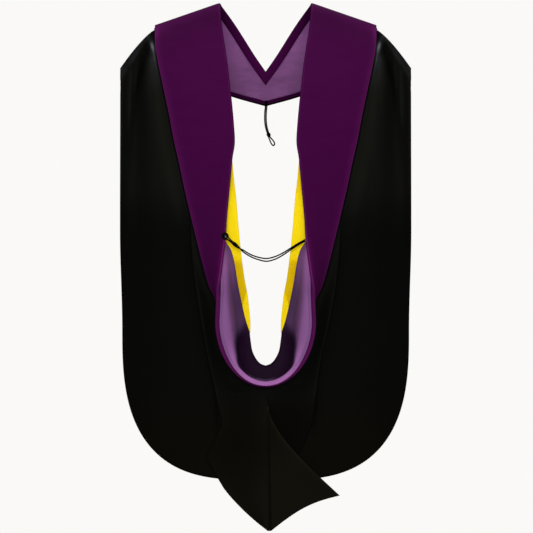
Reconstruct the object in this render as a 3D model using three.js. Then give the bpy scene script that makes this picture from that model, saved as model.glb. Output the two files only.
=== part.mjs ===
// A doctor's academic hood as it hangs on the wearer's shoulders, seen from the back.
// Millimetres, +Z up. The wearer faces +Y, so the turned-out lining shows towards -Y.
// The origin is in the middle of the neck, level with the two highest points of the velvet.
import * as THREE from "three";

// Widths, each measured from the middle of the back.
const NECK_HALF = 91; // to the velvet's edge where it crosses the shoulder
const VELVET_WIDTH = 127; // the velvet facing across the shoulder
const COWL_HALF = 99.5; // to the turned-out edge at its widest
const STRIP_WIDTH = 31.5; // black cloth that shows outside the turned-out edge
const INNER_HALF = 30.2; // the narrow slot between the near-body edges, at its foot
const CAPE_HALF = 287; // to the free side of a side panel
const CAPE_INNER_HALF = 30; // to the hidden side of a side panel, at its foot
const CHEST_STRAP = 67; // height of the neckband at the middle of the chest

// Lengths, measured down from the highest points of the velvet.
const COWL_DROP = 749; // to the foot of the turned-out edge
const TAIL_LENGTH = 279.5; // from there to the tip of the tail
const CAPE_LENGTH = 931; // to the foot of a side panel
const CAPE_CORNER_DROP = 640; // where the side panel's round corner starts
const THROAT_DROP = 125; // to the point of the neckband's V
const SHOULDER_FALL = 43; // of the velvet, from the neck out to its outer seam
const SLEEVE_FALL = 47; // more fall of the side panel beyond the velvet

// The wearer's form, which the cloth follows. It isn't built.
const BACK_DEPTH = 100;
const CHEST_DEPTH = 100;
const SIDE_WRAP = 95; // how far the sides come forward from the back
const CHEST_WRAP = 60;
const BLADE_DEPTH = 10; // more depth below the shoulder blades
const ARCH_DROP = 90; // height of the rounded shoulder
const BLADE_DROP = 270; // from there down to where the blades stand out in full
const WRAP_POWER = 3; // of the curve that brings the sides forward
const SLEEVE_POWER = 1.5; // of the curve of the side panel's shoulder

// Cloth.
const SHELL_WALL = 1.8;
const VELVET_WALL = 1.8;
const SATIN_WALL = 1.0;
const SEW_GAP = 0.3; // between pieces that are sewn to each other
const LINING_GAP = 0.8; // between the velvet's turned edge and a lining
const FOLD_RADIUS = 1.25; // of the velvet where it wraps its edge
const RIM_INSIDE = 16.7; // velvet turned to the inside of the neckband
const RIM_HIDDEN = 12; // velvet turned under, on the back
const RIM_SHOWN = 6; // velvet that rims the turned-out lining
const HEM_SHOWN = 5.5; // velvet below the neckband's lining
const BINDING_WIDTH = 3.6; // black binding along the neckband's lower edge

// Height of each layer's middle above the wearer's form.
const CAPE_LAYER = 1;
const NEAR_LAYER = 4;
const FRONT_LAYER = 6.6;
const LAYER_ROOM = 0.9; // between the middle of one flat layer's face and the next
const VELVET_LAYER = FRONT_LAYER + (SHELL_WALL + VELVET_WALL) / 2 + LAYER_ROOM;
const LINING_LAYER = NEAR_LAYER + (SHELL_WALL + SATIN_WALL) / 2 + SEW_GAP;
const SATIN_LAYER = LINING_LAYER + SATIN_WALL + LAYER_ROOM;
const CHEST_LAYER = 4;

// The pouch of the cowl.
const POUCH_DEPTH = 45; // between the near-body layer and the front
const CREST_HEIGHT = 20; // of the turned-out edge above the front
const OVERHANG = 6; // of that edge, over its seam
const RIGHT_TUCK = 0.45; // of the pouch's depth that the right half loses below the cowl, behind the flap
const TAIL_SWING = 7.6; // of the middle seam, to the wearer's right
const FLAP_HALF = 141; // to the free corner of the tail's flap
const FLAP_DROP = 958; // to that corner
const FLAP_RISE = 11.5; // of the flap's cut end, at its middle
const FLAP_CURL = 16; // of the flap's free edge, away from the cape
const FLAP_HEAD = 3; // width of the flap where it starts

// How far pieces lie over or under each other.
const UNDERLAP = 12; // of the black cloth under the velvet
const SEAM_UNDERLAP = 2; // of its cut edge, past the velvet's seam
const HEM = 1.5; // from its near-body edge to the lining's
const MIDDLE_GAP = 0.25; // from the middle seam to the cloth of either side
const TIP_UNDERLAP = 8; // of the tail's near-body layer, past the middle seam
const CHEVRON_UNDERLAP = 9; // of the gold cloth, under the satin's edge

// Fittings.
const CORD_WIDTH = 1.6;
const STRAND_APART = 1.05; // half the distance between a pair of strands that touch
const BUTTON_RADIUS = 6.2;
const BUTTON_HEIGHT = 4.6;
const STEM_RADIUS = 1.8;
const STEM_HEIGHT = 3.4;
const BUTTON_INSET = 2.4; // of its stem from the velvet's edge
const SLIDE_PLACE = 29.5; // of the slide, along the cord from the button
const SLIDE_RADIUS = 3.3;
const SLIDE_LENGTH = 8;
const KNOT_RADIUS = 3.4;
const KNOT_LENGTH = 6;

// The cowl, a row for each level. drop runs from 0 at the shoulder to 1 at the foot of the turned-out edge.
// edge is a share of the half-width there, velvet of VELVET_WIDTH and strip of STRIP_WIDTH.
// inner is how far the near-body edge has moved from INNER_HALF, at 0, to COWL_HALF, at 1.
// puff is a share of POUCH_DEPTH and crest of CREST_HEIGHT. turn is how far the velvet wraps its edge, in degrees.
const COWL_ROWS = [
  { drop: 0.0, edge: 1.0, velvet: 1.0, strip: -0.03, inner: 0.938, puff: 0.0, crest: 0.0, turn: 180 },
  { drop: 0.063, edge: 0.953, velvet: 1.031, strip: -0.03, inner: 0.877, puff: 0.0, crest: 0.0, turn: 180 },
  { drop: 0.145, edge: 0.855, velvet: 1.046, strip: -0.03, inner: 0.797, puff: 0.02, crest: 0.0, turn: 180 },
  { drop: 0.249, edge: 0.739, velvet: 1.0, strip: -0.03, inner: 0.693, puff: 0.08, crest: 0.0, turn: 180 },
  { drop: 0.328, edge: 0.686, velvet: 0.942, strip: -0.03, inner: 0.616, puff: 0.14, crest: 0.0, turn: 180 },
  { drop: 0.367, edge: 0.681, velvet: 0.896, strip: -0.03, inner: 0.577, puff: 0.18, crest: 0.0, turn: 180 },
  { drop: 0.406, edge: 0.734, velvet: 0.807, strip: -0.03, inner: 0.539, puff: 0.22, crest: 0.0, turn: 180 },
  { drop: 0.458, edge: 0.77, velvet: 0.715, strip: -0.03, inner: 0.484, puff: 0.28, crest: 0.0, turn: 180 },
  { drop: 0.511, edge: 0.794, velvet: 0.631, strip: 0.0, inner: 0.427, puff: 0.36, crest: 0.0, turn: 180 },
  { drop: 0.563, edge: 0.828, velvet: 0.523, strip: 0.08, inner: 0.371, puff: 0.44, crest: 0.0, turn: 180 },
  { drop: 0.615, edge: 0.844, velvet: 0.431, strip: 0.267, inner: 0.319, puff: 0.52, crest: 0.04, turn: 176 },
  { drop: 0.668, edge: 0.877, velvet: 0.323, strip: 0.46, inner: 0.265, puff: 0.62, crest: 0.35, turn: 150 },
  { drop: 0.72, edge: 0.93, velvet: 0.169, strip: 0.775, inner: 0.169, puff: 0.72, crest: 0.7, turn: 125 },
  { drop: 0.772, edge: 0.992, velvet: 0.0, strip: 1.0, inner: 0.062, puff: 0.81, crest: 1.0, turn: 105 },
  { drop: 0.83, edge: 1.0, velvet: 0.0, strip: 0.9, inner: 0.01, puff: 0.88, crest: 1.0, turn: 103 },
];
const LIFT_OFF_DROP = 0.615; // where the edge starts to turn out
const WALL_DROP = 0.772; // where the velvet stands straight off the cowl
const ROUND_DROP = 0.83; // where the edge starts round its foot

// The foot of the slot between the near-body edges, at each step round the foot of the turned-out edge.
// turn is in degrees round that foot. half is a share of INNER_HALF, drop of COWL_DROP, rim of RIM_SHOWN.
const FOOT_ROWS = [
  { turn: 0, half: 1.03, drop: 0.83, rim: 1.0 },
  { turn: 15, half: 1.06, drop: 0.859, rim: 1.0 },
  { turn: 30, half: 0.967, drop: 0.885, rim: 0.9 },
  { turn: 45, half: 0.858, drop: 0.908, rim: 0.7 },
  { turn: 60, half: 0.58, drop: 0.927, rim: 0.4 },
  { turn: 75, half: 0.3, drop: 0.938, rim: 0.15 },
  { turn: 90, half: 0.0, drop: 0.942, rim: 0.07 },
];

// The seam between the satin and the gold chevron, as a share of COWL_HALF.
const CHEVRON_ROWS = [
  { drop: 0.617, half: 0.804 },
  { drop: 0.641, half: 0.695 },
  { drop: 0.676, half: 0.626 },
  { drop: 0.728, half: 0.564 },
  { drop: 0.778, half: 0.487 },
  { drop: 0.822, half: 0.411 },
  { drop: 0.854, half: 0.335 },
  { drop: 0.88, half: 0.26 },
];

// The satin across the cowl, from its rim to its inner boundary, in shares of the way and of the height.
// It is a straight slope under the button, a roll beside the slot and a pocket at the slot's foot.
const SATIN_ROWS = [
  { slope: 0.0, sideIn: 0.0, sideUp: 1.0, footIn: 0.0, footUp: 1.0 },
  { slope: 0.14, sideIn: 0.14, sideUp: 1.04, footIn: 0.1, footUp: 1.02 },
  { slope: 0.28, sideIn: 0.29, sideUp: 1.02, footIn: 0.2, footUp: 0.98 },
  { slope: 0.42, sideIn: 0.42, sideUp: 0.92, footIn: 0.27, footUp: 0.84 },
  { slope: 0.55, sideIn: 0.52, sideUp: 0.7, footIn: 0.2, footUp: 0.6 },
  { slope: 0.67, sideIn: 0.6, sideUp: 0.42, footIn: 0.0, footUp: 0.38 },
  { slope: 0.78, sideIn: 0.7, sideUp: 0.17, footIn: -0.15, footUp: 0.14 },
  { slope: 0.89, sideIn: 0.84, sideUp: 0.04, footIn: 0.35, footUp: 0.03 },
  { slope: 1.0, sideIn: 1.0, sideUp: 0.0, footIn: 1.0, footUp: 0.0 },
];

// The cowl below the foot of the turned-out edge, where drop runs on from 1 to 2 at the tip of the tail.
// left and right are where each half folds under, as a share of COWL_HALF + STRIP_WIDTH. puff is as above.
const TAIL_ROWS = [
  { drop: 0.772, left: 1.0, right: 1.0, puff: 0.81 },
  { drop: 0.83, left: 0.96, right: 0.935, puff: 0.88 },
  { drop: 0.88, left: 0.905, right: 0.862, puff: 0.93 },
  { drop: 0.929, left: 0.854, right: 0.8, puff: 0.97 },
  { drop: 1.0, left: 0.768, right: 0.735, puff: 1.0 },
  { drop: 1.12, left: 0.715, right: 0.694, puff: 1.0 },
  { drop: 1.25, left: 0.658, right: 0.654, puff: 0.92 },
  { drop: 1.37, left: 0.761, right: 0.56, puff: 0.82 },
  { drop: 1.482, left: 0.873, right: 0.44, puff: 0.74 },
  { drop: 1.551, left: 0.806, right: 0.33, puff: 0.68 },
  { drop: 1.642, left: 0.696, right: 0.2, puff: 0.62 },
  { drop: 1.712, left: 0.605, right: 0.1, puff: 0.57 },
  { drop: 1.82, left: 0.408, right: 0.1, puff: 0.5 },
  { drop: 1.914, left: 0.182, right: 0.1, puff: 0.44 },
  { drop: 2.0, left: -0.06, right: 0.1, puff: 0.4 },
];
const RIGHT_FOOT_DROP = 1.6; // the right half ends there, behind the flap
const FLAP_START_DROP = 1.13; // the flap leaves the middle seam there
const TIP_DROP = 1.985;
const SWING_DROP = 1.1; // the middle seam starts to swing there
const TUCK_DROP = 1.05; // the right half starts to lie back there
const TUCKED_DROP = 1.25; // and lies back in full there

// The flap's free edge, from the middle seam to its corner, as shares of the way across and down.
const FLAP_EDGE = [
  { at: 0.0, across: 0.0, down: 0.0 },
  { at: 0.15, across: 0.07, down: 0.141 },
  { at: 0.31, across: 0.183, down: 0.298 },
  { at: 0.45, across: 0.297, down: 0.422 },
  { at: 0.64, across: 0.492, down: 0.598 },
  { at: 0.83, across: 0.719, down: 0.783 },
  { at: 1.0, across: 1.0, down: 1.0 },
];

// The neckband's lower edge from the shoulder to the middle of the chest.
// half is a share of NECK_HALF + VELVET_WIDTH, and fall of the way down from the shoulder seam.
const CHEST_ROWS = [
  { at: 0.0, half: 1.0, fall: 0.0 },
  { at: 0.2, half: 0.885, fall: 0.22 },
  { at: 0.4, half: 0.74, fall: 0.46 },
  { at: 0.6, half: 0.56, fall: 0.69 },
  { at: 0.8, half: 0.33, fall: 0.88 },
  { at: 1.0, half: 0.0, fall: 1.0 },
];

// Folds of a side panel. across runs from its free side to its hidden side, and reach down its length.
const FOLD_RISE = 0.06; // share of the length in which a fold rises to its depth
const FOLD_FADE = 0.1; // where it starts to fade
const CAPE_FOLDS = [
  { across: 0.1, width: 0.07, depth: -4, reach: 0.5 },
  { across: 0.24, width: 0.08, depth: 7, reach: 0.55 },
  { across: 0.42, width: 0.09, depth: -6, reach: 0.6 },
  { across: 0.6, width: 0.09, depth: 8, reach: 0.45 },
];
const CORNER_POWER = 2.6; // of the round corner's superellipse

// The lining cord's turn round the button: how far each point lies along its pull and beside it.
const CORD_LOOP = [
  { along: 37, beside: 1.05 },
  { along: 30, beside: 1.05 },
  { along: 23, beside: 1.05 },
  { along: 14, beside: 1.9 },
  { along: 5, beside: 4.0 },
  { along: 0, beside: 4.6 },
  { along: -3.25, beside: 3.25 },
  { along: -4.6, beside: 0 },
];
// Its pair of strands from there to the other edge, and half the distance between them.
const STRAND_ROWS = [
  { x: -47.4, drop: 482.2, apart: 1.05 },
  { x: -31.8, drop: 491.6, apart: 1.9 },
  { x: -16.1, drop: 497.9, apart: 2.5 },
  { x: -0.5, drop: 500.6, apart: 2.7 },
  { x: 15.1, drop: 497.4, apart: 2.6 },
  { x: 30.8, drop: 489.7, apart: 1.9 },
  { x: 46.4, drop: 479.5, apart: 1.15 },
  { x: 62, drop: 469.6, apart: 1.05 },
  { x: 70, drop: 465.2, apart: 1.05 },
];
// The neckband's cord: its pair of strands down to the knot, and the points of its loop below it.
const NECK_CORD_ROWS = [
  { drop: 0, x: -1.3, apart: 1.05 },
  { drop: 8, x: -2, apart: 1.05 },
  { drop: 16, x: -2.4, apart: 1.05 },
  { drop: 25, x: -2.3, apart: 1.05 },
  { drop: 34, x: -1.7, apart: 1.05 },
  { drop: 46, x: 1.6, apart: 1.05 },
  { drop: 57.5, x: 5.2, apart: 1.05 },
  { drop: 62, x: 6.6, apart: 1.05 },
];
const NECK_LOOP = [
  { x: 6.9, drop: 68 },
  { x: 8.6, drop: 74 },
  { x: 12.2, drop: 77.8 },
  { x: 16.4, drop: 76.2 },
  { x: 16.2, drop: 71 },
  { x: 11.8, drop: 66 },
];

const lerp = THREE.MathUtils.lerp;
const clamp = THREE.MathUtils.clamp;
const radians = THREE.MathUtils.degToRad;
const ease = (t) => THREE.MathUtils.smoothstep(t, 0, 1);
const steps = (count) => Array.from({ length: count + 1 }, (_, k) => k / count);
const STACK = VELVET_LAYER + VELVET_WALL / 2; // from the form to the velvet's face
const SHOULDER_HALF = NECK_HALF + VELVET_WIDTH;
const ARCH_LEVEL = (STACK + ARCH_DROP) / COWL_DROP; // where the back hangs free of the shoulder

// The smooth value of one column of a table at a place between its rows.
function column(table, key, name, at) {
  const last = table.length - 1;
  const place = clamp(at, table[0][key], table[last][key]);
  let i = 0;
  while (i < last - 1 && table[i + 1][key] < place) i++;
  const slope = (k) => {
    const a = table[Math.max(k - 1, 0)];
    const b = table[Math.min(k + 1, last)];
    return (b[name] - a[name]) / (b[key] - a[key]);
  };
  const [p, q] = [table[i], table[i + 1]];
  const span = q[key] - p[key];
  const t = (place - p[key]) / span;
  const t2 = t * t;
  const t3 = t2 * t;
  return (
    (2 * t3 - 3 * t2 + 1) * p[name] +
    (t3 - 2 * t2 + t) * span * slope(i) +
    (3 * t2 - 2 * t3) * q[name] +
    (t3 - t2) * span * slope(i + 1)
  );
}

// The cowl's levels: 0 to 1 down to the foot of the turned-out edge, 1 to 2 down the tail.
const levelZ = (level) => -(Math.min(level, 1) * COWL_DROP + Math.max(level - 1, 0) * TAIL_LENGTH);
const cowl = (name, level) => column(COWL_ROWS, "drop", name, level);

// Half-widths of the cowl's lines at a level.
function edgeHalf(level) {
  const round = clamp((level - ROUND_DROP) / (1 - ROUND_DROP), 0, 1);
  if (round > 0) return footPoint(Math.asin(round), 0).x;
  return lerp(NECK_HALF, COWL_HALF, clamp(level / WALL_DROP, 0, 1)) * cowl("edge", level);
}
const seamHalf = (level) => edgeHalf(level) + VELVET_WIDTH * cowl("velvet", Math.min(level, WALL_DROP));
const chevronHalf = (level) => COWL_HALF * column(CHEVRON_ROWS, "drop", "half", level);
function slotHalf(level) {
  if (level > ROUND_DROP) return INNER_HALF * column(FOOT_ROWS, "drop", "half", level);
  return lerp(INNER_HALF, COWL_HALF, cowl("inner", level));
}
function foldHalf(level, side) {
  if (level <= WALL_DROP) return seamHalf(level) + STRIP_WIDTH * cowl("strip", level);
  return (COWL_HALF + STRIP_WIDTH) * column(TAIL_ROWS, "drop", side < 0 ? "left" : "right", level);
}
const middleX = (level) => TAIL_SWING * ease((level - SWING_DROP) / (2 - SWING_DROP));

// A point at an angle round the foot of the turned-out edge, a half-ellipse, moved in by some distance.
function footPoint(angle, inward) {
  const drop = COWL_DROP * (1 - ROUND_DROP);
  const normal = new THREE.Vector2(Math.cos(angle) / COWL_HALF, -Math.sin(angle) / drop).normalize();
  const x = COWL_HALF * Math.cos(angle) - inward * normal.x;
  const z = levelZ(ROUND_DROP) - drop * Math.sin(angle) - inward * normal.y;
  return new THREE.Vector2(Math.max(x, SEW_GAP / 2), z);
}
const footLevel = (angle) => lerp(ROUND_DROP, 1, Math.sin(angle));

// The line of the shoulder, and the form below it, as a depth behind the neck's axis.
function ridgeZ(half) {
  const slope = (SHOULDER_FALL * Math.max(half - NECK_HALF, 0)) / VELVET_WIDTH;
  const beyond = clamp((half - SHOULDER_HALF) / (CAPE_HALF - SHOULDER_HALF), 0, 1);
  return -STACK - slope - SLEEVE_FALL * beyond ** SLEEVE_POWER;
}

// The height of a row of cloth across the back, which follows the shoulder at the top and is level at the foot.
function rowZ(level, half) {
  const slant = clamp((WALL_DROP - level) / (WALL_DROP - ARCH_LEVEL), 0, 1);
  return levelZ(level) + slant * (ridgeZ(half) + STACK);
}
function formDepth(half, face) {
  const wrap = (Math.min(half, CAPE_HALF) / CAPE_HALF) ** WRAP_POWER;
  return face > 0 ? BACK_DEPTH - SIDE_WRAP * wrap : CHEST_DEPTH - CHEST_WRAP * wrap;
}

// A point of the wearer's form and its outward normal. face is 1 on the back and -1 on the chest.
const SLOPE_STEP = 0.5; // between the points that give the form's slope
function form(x, z, face) {
  const at = (px, arch) => {
    const half = Math.abs(px);
    const below = Math.max(ridgeZ(half) - ARCH_DROP - z, 0);
    const blade = face > 0 ? BLADE_DEPTH * ease(below / BLADE_DROP) : 0;
    const depth = formDepth(half, face) * Math.sin(arch) + blade;
    return new THREE.Vector3(px, -face * depth, ridgeZ(half) - ARCH_DROP * (1 - Math.cos(arch)) - below);
  };
  const share = clamp((ridgeZ(Math.abs(x)) - z) / ARCH_DROP, 0, 1);
  const arch = Math.acos(1 - share);
  const point = at(x, arch);
  const acrossStep = at(x + SLOPE_STEP, arch).sub(at(x - SLOPE_STEP, arch));
  const depth = formDepth(Math.abs(x), face);
  const down = new THREE.Vector3(0, -face * depth * Math.cos(arch), -ARCH_DROP * Math.sin(arch));
  const normal = acrossStep.cross(down).normalize();
  const outward = new THREE.Vector3(0, -face * Math.sin(arch), Math.cos(arch));
  if (normal.dot(outward) < 0) normal.negate();
  return { point, normal };
}

// A point of cloth that lies a layer above the form, lifted towards the viewer of that face.
function laid(x, z, face, layer, lift = 0) {
  const { point, normal } = form(x, z, face);
  point.addScaledVector(normal, layer);
  point.y -= face * lift;
  return point;
}

// How far the front of the cowl stands off the near-body layer.
function pouch(half, level, side) {
  const puff = level <= ROUND_DROP ? cowl("puff", level) : column(TAIL_ROWS, "drop", "puff", level);
  const inner = edgeHalf(level);
  const outer = Math.max(foldHalf(level, side), inner + 1);
  const fade = 1 - ease((half - inner) / (outer - inner));
  const tuck = side > 0 ? 1 - RIGHT_TUCK * ease((level - TUCK_DROP) / (TUCKED_DROP - TUCK_DROP)) : 1;
  return POUCH_DEPTH * puff * fade * tuck;
}

// The normal of a grid of points at one of them.
function gridNormal(grid, i, j) {
  const [rows, cols] = [grid.length, grid[0].length];
  const downStep = grid[Math.min(i + 1, rows - 1)][j].clone().sub(grid[Math.max(i - 1, 0)][j]);
  const acrossStep = grid[i][Math.min(j + 1, cols - 1)].clone().sub(grid[i][Math.max(j - 1, 0)]);
  return downStep.cross(acrossStep).normalize();
}

// One closed solid of cloth from a grid of middle points, thickened along the grid's own normals.
// Each cell is folded along its shorter diagonal, so that layers on one another fold alike.
// A piece of one side that is sewn along the middle of the hood stays on its side of it.
function clothSolid(grid, wall, side = 0) {
  const rows = grid.length;
  const cols = grid[0].length;
  const sheet = (i, j, sign) => {
    const point = grid[i][j].clone().addScaledVector(gridNormal(grid, i, j), (sign * wall) / 2);
    if (side) point.x = side * Math.max(side * point.x, SEW_GAP / 2);
    return point;
  };
  const positions = [];
  for (const sign of [1, -1])
    for (let i = 0; i < rows; i++)
      for (let j = 0; j < cols; j++) positions.push(...sheet(i, j, sign).toArray());
  const under = rows * cols;
  const at = (i, j) => i * cols + j;
  const faces = [];
  const quad = (a, b, c, d) => faces.push(a, b, c, a, c, d);
  for (let i = 0; i + 1 < rows; i++)
    for (let j = 0; j + 1 < cols; j++) {
      const ring = [at(i, j), at(i + 1, j), at(i + 1, j + 1), at(i, j + 1)];
      const falling = grid[i][j].distanceTo(grid[i + 1][j + 1]);
      const rising = grid[i + 1][j].distanceTo(grid[i][j + 1]);
      if (rising < falling) ring.push(ring.shift());
      quad(...ring);
      faces.push(...[0, 2, 1, 0, 3, 2].map((k) => under + ring[k]));
    }
  const wallBetween = (a, b) => quad(b, a, under + a, under + b);
  for (let i = 0; i + 1 < rows; i++) {
    wallBetween(at(i, 0), at(i + 1, 0));
    wallBetween(at(i + 1, cols - 1), at(i, cols - 1));
  }
  for (let j = 0; j + 1 < cols; j++) {
    wallBetween(at(0, j + 1), at(0, j));
    wallBetween(at(rows - 1, j), at(rows - 1, j + 1));
  }
  return facingOut(positions, faces);
}

// A geometry of these corners and faces, turned round if its volume comes out negative.
function facingOut(positions, faces) {
  const corner = (k) => new THREE.Vector3().fromArray(positions, 3 * k);
  let volume = 0;
  for (let k = 0; k < faces.length; k += 3)
    volume += corner(faces[k]).dot(corner(faces[k + 1]).cross(corner(faces[k + 2])));
  if (volume < 0) faces.reverse();
  const geometry = new THREE.BufferGeometry();
  geometry.setAttribute("position", new THREE.Float32BufferAttribute(positions, 3));
  geometry.setIndex(faces);
  return geometry;
}

// Levels and angles that the velvet, the cowl and the satin share, so that their facets match.
const archShare = (angle) => (ARCH_DROP * Math.cos(radians(angle))) / COWL_DROP;
const ARCH_LEVELS = [0, 30, 60, 90].map((angle) => ARCH_LEVEL - archShare(angle));
const BUTTON_LEVEL = 0.61;
const HANG_LEVELS = [0.21, 0.29, 0.367, 0.406, 0.46, 0.54, BUTTON_LEVEL];
const TURN_LEVELS = [0.64, 0.668, 0.695, 0.72, 0.746, 0.772, 0.8];
const BACK_LEVELS = [...ARCH_LEVELS, ...HANG_LEVELS, ...TURN_LEVELS];
const CHEST_STEPS = 7;

// The stations of one velvet edging, from the middle of the chest over the shoulder to the cowl's foot.
// Each gives its line from seam to edge on the right half, and how the velvet wraps its edge.
function chestStation(t) {
  const half = SHOULDER_HALF * column(CHEST_ROWS, "at", "half", t);
  const fall = column(CHEST_ROWS, "at", "fall", t);
  const edge = new THREE.Vector2(Math.max(NECK_HALF * (1 - t), SEW_GAP / 2), lerp(-STACK, -THROAT_DROP, t));
  const seam = new THREE.Vector2(
    Math.max(half, SEW_GAP / 2),
    lerp(-STACK - SHOULDER_FALL, -THROAT_DROP - CHEST_STRAP, fall),
  );
  const edgeRun = new THREE.Vector2(-NECK_HALF, STACK - THROAT_DROP).normalize();
  const across = edge.clone().sub(seam).normalize();
  const layer = lerp(VELVET_LAYER, CHEST_LAYER, ease(t));
  return {
    face: -1,
    level: 0,
    point: (at) => laid(lerp(seam.x, edge.x, at), lerp(seam.y, edge.y, at), -1, layer),
    rim: RIM_INSIDE / Math.abs(edgeRun.cross(across)),
    turn: 180,
  };
}

function backStation(level) {
  const crest = cowl("crest", level);
  const [seam, edge] = [seamHalf(level) - OVERHANG * crest, edgeHalf(level)];
  return {
    face: 1,
    level,
    point: (at) => {
      const half = lerp(seam, edge, at);
      const lift = pouch(half, level, -1) + CREST_HEIGHT * crest * at;
      return laid(half, rowZ(level, half), 1, VELVET_LAYER, lift);
    },
    rim: lerp(RIM_HIDDEN, RIM_SHOWN, ease((level - LIFT_OFF_DROP) / (WALL_DROP - LIFT_OFF_DROP))),
    turn: cowl("turn", level),
  };
}

function footStation(row) {
  const angle = radians(row.turn);
  const [seam, edge] = [footPoint(angle, OVERHANG), footPoint(angle, 0)];
  const level = footLevel(angle);
  const lift = pouch(seam.x, level, -1);
  return {
    face: 1,
    level,
    foot: row,
    point: (at) => {
      const [x, z] = [lerp(seam.x, edge.x, at), lerp(seam.y, edge.y, at)];
      return laid(x, z, 1, VELVET_LAYER, lift + CREST_HEIGHT * at);
    },
    rim: RIM_SHOWN * row.rim,
    turn: cowl("turn", ROUND_DROP),
  };
}

const STATIONS = [
  ...steps(CHEST_STEPS).slice(1).reverse().map(chestStation),
  ...BACK_LEVELS.map(backStation),
  ...FOOT_ROWS.map(footStation),
];

// The velvet across one station: from its seam to its edge, round the edge and along the rim.
const PANEL_STEPS = 5;
function velvetLine(station, k) {
  const width = station.point(0).distanceTo(station.point(1));
  const flat = Math.max(1 - station.rim / width, 0.5);
  const line = steps(PANEL_STEPS - 1).map((t) => station.point(t * flat));
  line.push(station.point(1));
  const edge = line[PANEL_STEPS];
  const last = STATIONS.length - 1;
  const [before, after] = [STATIONS[Math.max(k - 1, 0)], STATIONS[Math.min(k + 1, last)]];
  const along = after.point(1).sub(before.point(1)).normalize();
  const row = edge.clone().sub(line[PANEL_STEPS - 1]).normalize();
  const middle = k === 0 || k === last;
  const slip = middle ? 0 : row.dot(along);
  const pull = row.clone().addScaledVector(along, -row.dot(along)).normalize();
  const out = new THREE.Vector3().crossVectors(pull, along).normalize();
  if (middle) for (const axis of [pull, out]) axis.setX(0).normalize();
  const towards = (angle) => {
    return pull.clone().multiplyScalar(Math.cos(angle)).addScaledVector(out, -Math.sin(angle));
  };
  const centre = edge.clone().addScaledVector(out, -FOLD_RADIUS);
  const round = (angle) => centre.clone().addScaledVector(towards(angle - Math.PI / 2), FOLD_RADIUS);
  const turn = radians(station.turn);
  line.push(round(turn / 2), round(turn));
  const direction = towards(turn).multiplyScalar(Math.sqrt(1 - slip * slip));
  direction.addScaledVector(along, (-slip * turn) / Math.PI);
  const end = round(turn).addScaledVector(direction, station.rim);
  line.push(end);
  return { line, end, direction, out };
}
const VELVET_LINES = STATIONS.map(velvetLine);

// A point of the right half, moved to the side that is asked for.
const sided = (point, side) => new THREE.Vector3(point.x * side, point.y, point.z);

function velvet(side) {
  const grid = VELVET_LINES.map(({ line }) => line.map((p) => sided(p, side)));
  return clothSolid(grid, VELVET_WALL, side);
}

// The black cowl of one side: its front from under the velvet to the fold, and the near-body layer back in.
const BELOW_LEVELS = [1.03, 1.1, 1.18, 1.27, 1.38, 1.493, RIGHT_FOOT_DROP];
const TIP_LEVELS = [1.72, 1.84, 1.93, TIP_DROP];
const FRONT_STEPS = 4;

function cowlLine(station, side) {
  const { level, foot } = station;
  const fold = foldHalf(level, side);
  const nose = (FRONT_LAYER - NEAR_LAYER) / 2;
  const middle = side * middleX(level) + MIDDLE_GAP;
  const crest = OVERHANG * cowl("crest", level);
  let start = new THREE.Vector2(middle, levelZ(level));
  const under = TIP_UNDERLAP * clamp((2 - level) / (2 - RIGHT_FOOT_DROP), 0, 1);
  let slot = level > RIGHT_FOOT_DROP ? new THREE.Vector2(middle - under, start.y) : start;
  if (foot) {
    start = footPoint(radians(foot.turn), OVERHANG + SEAM_UNDERLAP);
    slot = new THREE.Vector2(INNER_HALF * foot.half + HEM, -COWL_DROP * foot.drop);
    start.x = Math.max(start.x, middle);
  } else if (level <= 1) {
    const velvet = seamHalf(level) - edgeHalf(level) - crest;
    const begin = edgeHalf(level) + Math.max(velvet - UNDERLAP, -crest - SEAM_UNDERLAP);
    start = new THREE.Vector2(begin, rowZ(level, begin));
    const inner = slotHalf(level) + HEM;
    slot = new THREE.Vector2(inner, rowZ(level, inner));
  }
  const zAt = (half, from) => {
    if (!foot) return level <= 1 ? rowZ(level, half) : levelZ(level);
    return lerp(levelZ(level), from.y, clamp((fold - half) / (fold - from.x), 0, 1));
  };
  const line = steps(FRONT_STEPS).map((t) => {
    const half = lerp(start.x, fold - nose, t);
    return laid(half, zAt(half, start), 1, FRONT_LAYER, pouch(half, level, side));
  });
  line.push(laid(fold, zAt(fold, start), 1, (FRONT_LAYER + NEAR_LAYER) / 2));
  for (const t of steps(FRONT_STEPS)) {
    const half = lerp(fold - nose, slot.x, t);
    line.push(laid(half, zAt(half, slot), 1, NEAR_LAYER));
  }
  return line.map((p) => sided(p, side));
}

function cowlShell(side) {
  const below = [...BELOW_LEVELS, ...(side < 0 ? TIP_LEVELS : [])].map((level) => ({ level }));
  const stations = [...STATIONS.filter((station) => station.face > 0), ...below];
  return clothSolid(stations.map((station) => cowlLine(station, side)), SHELL_WALL);
}

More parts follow.
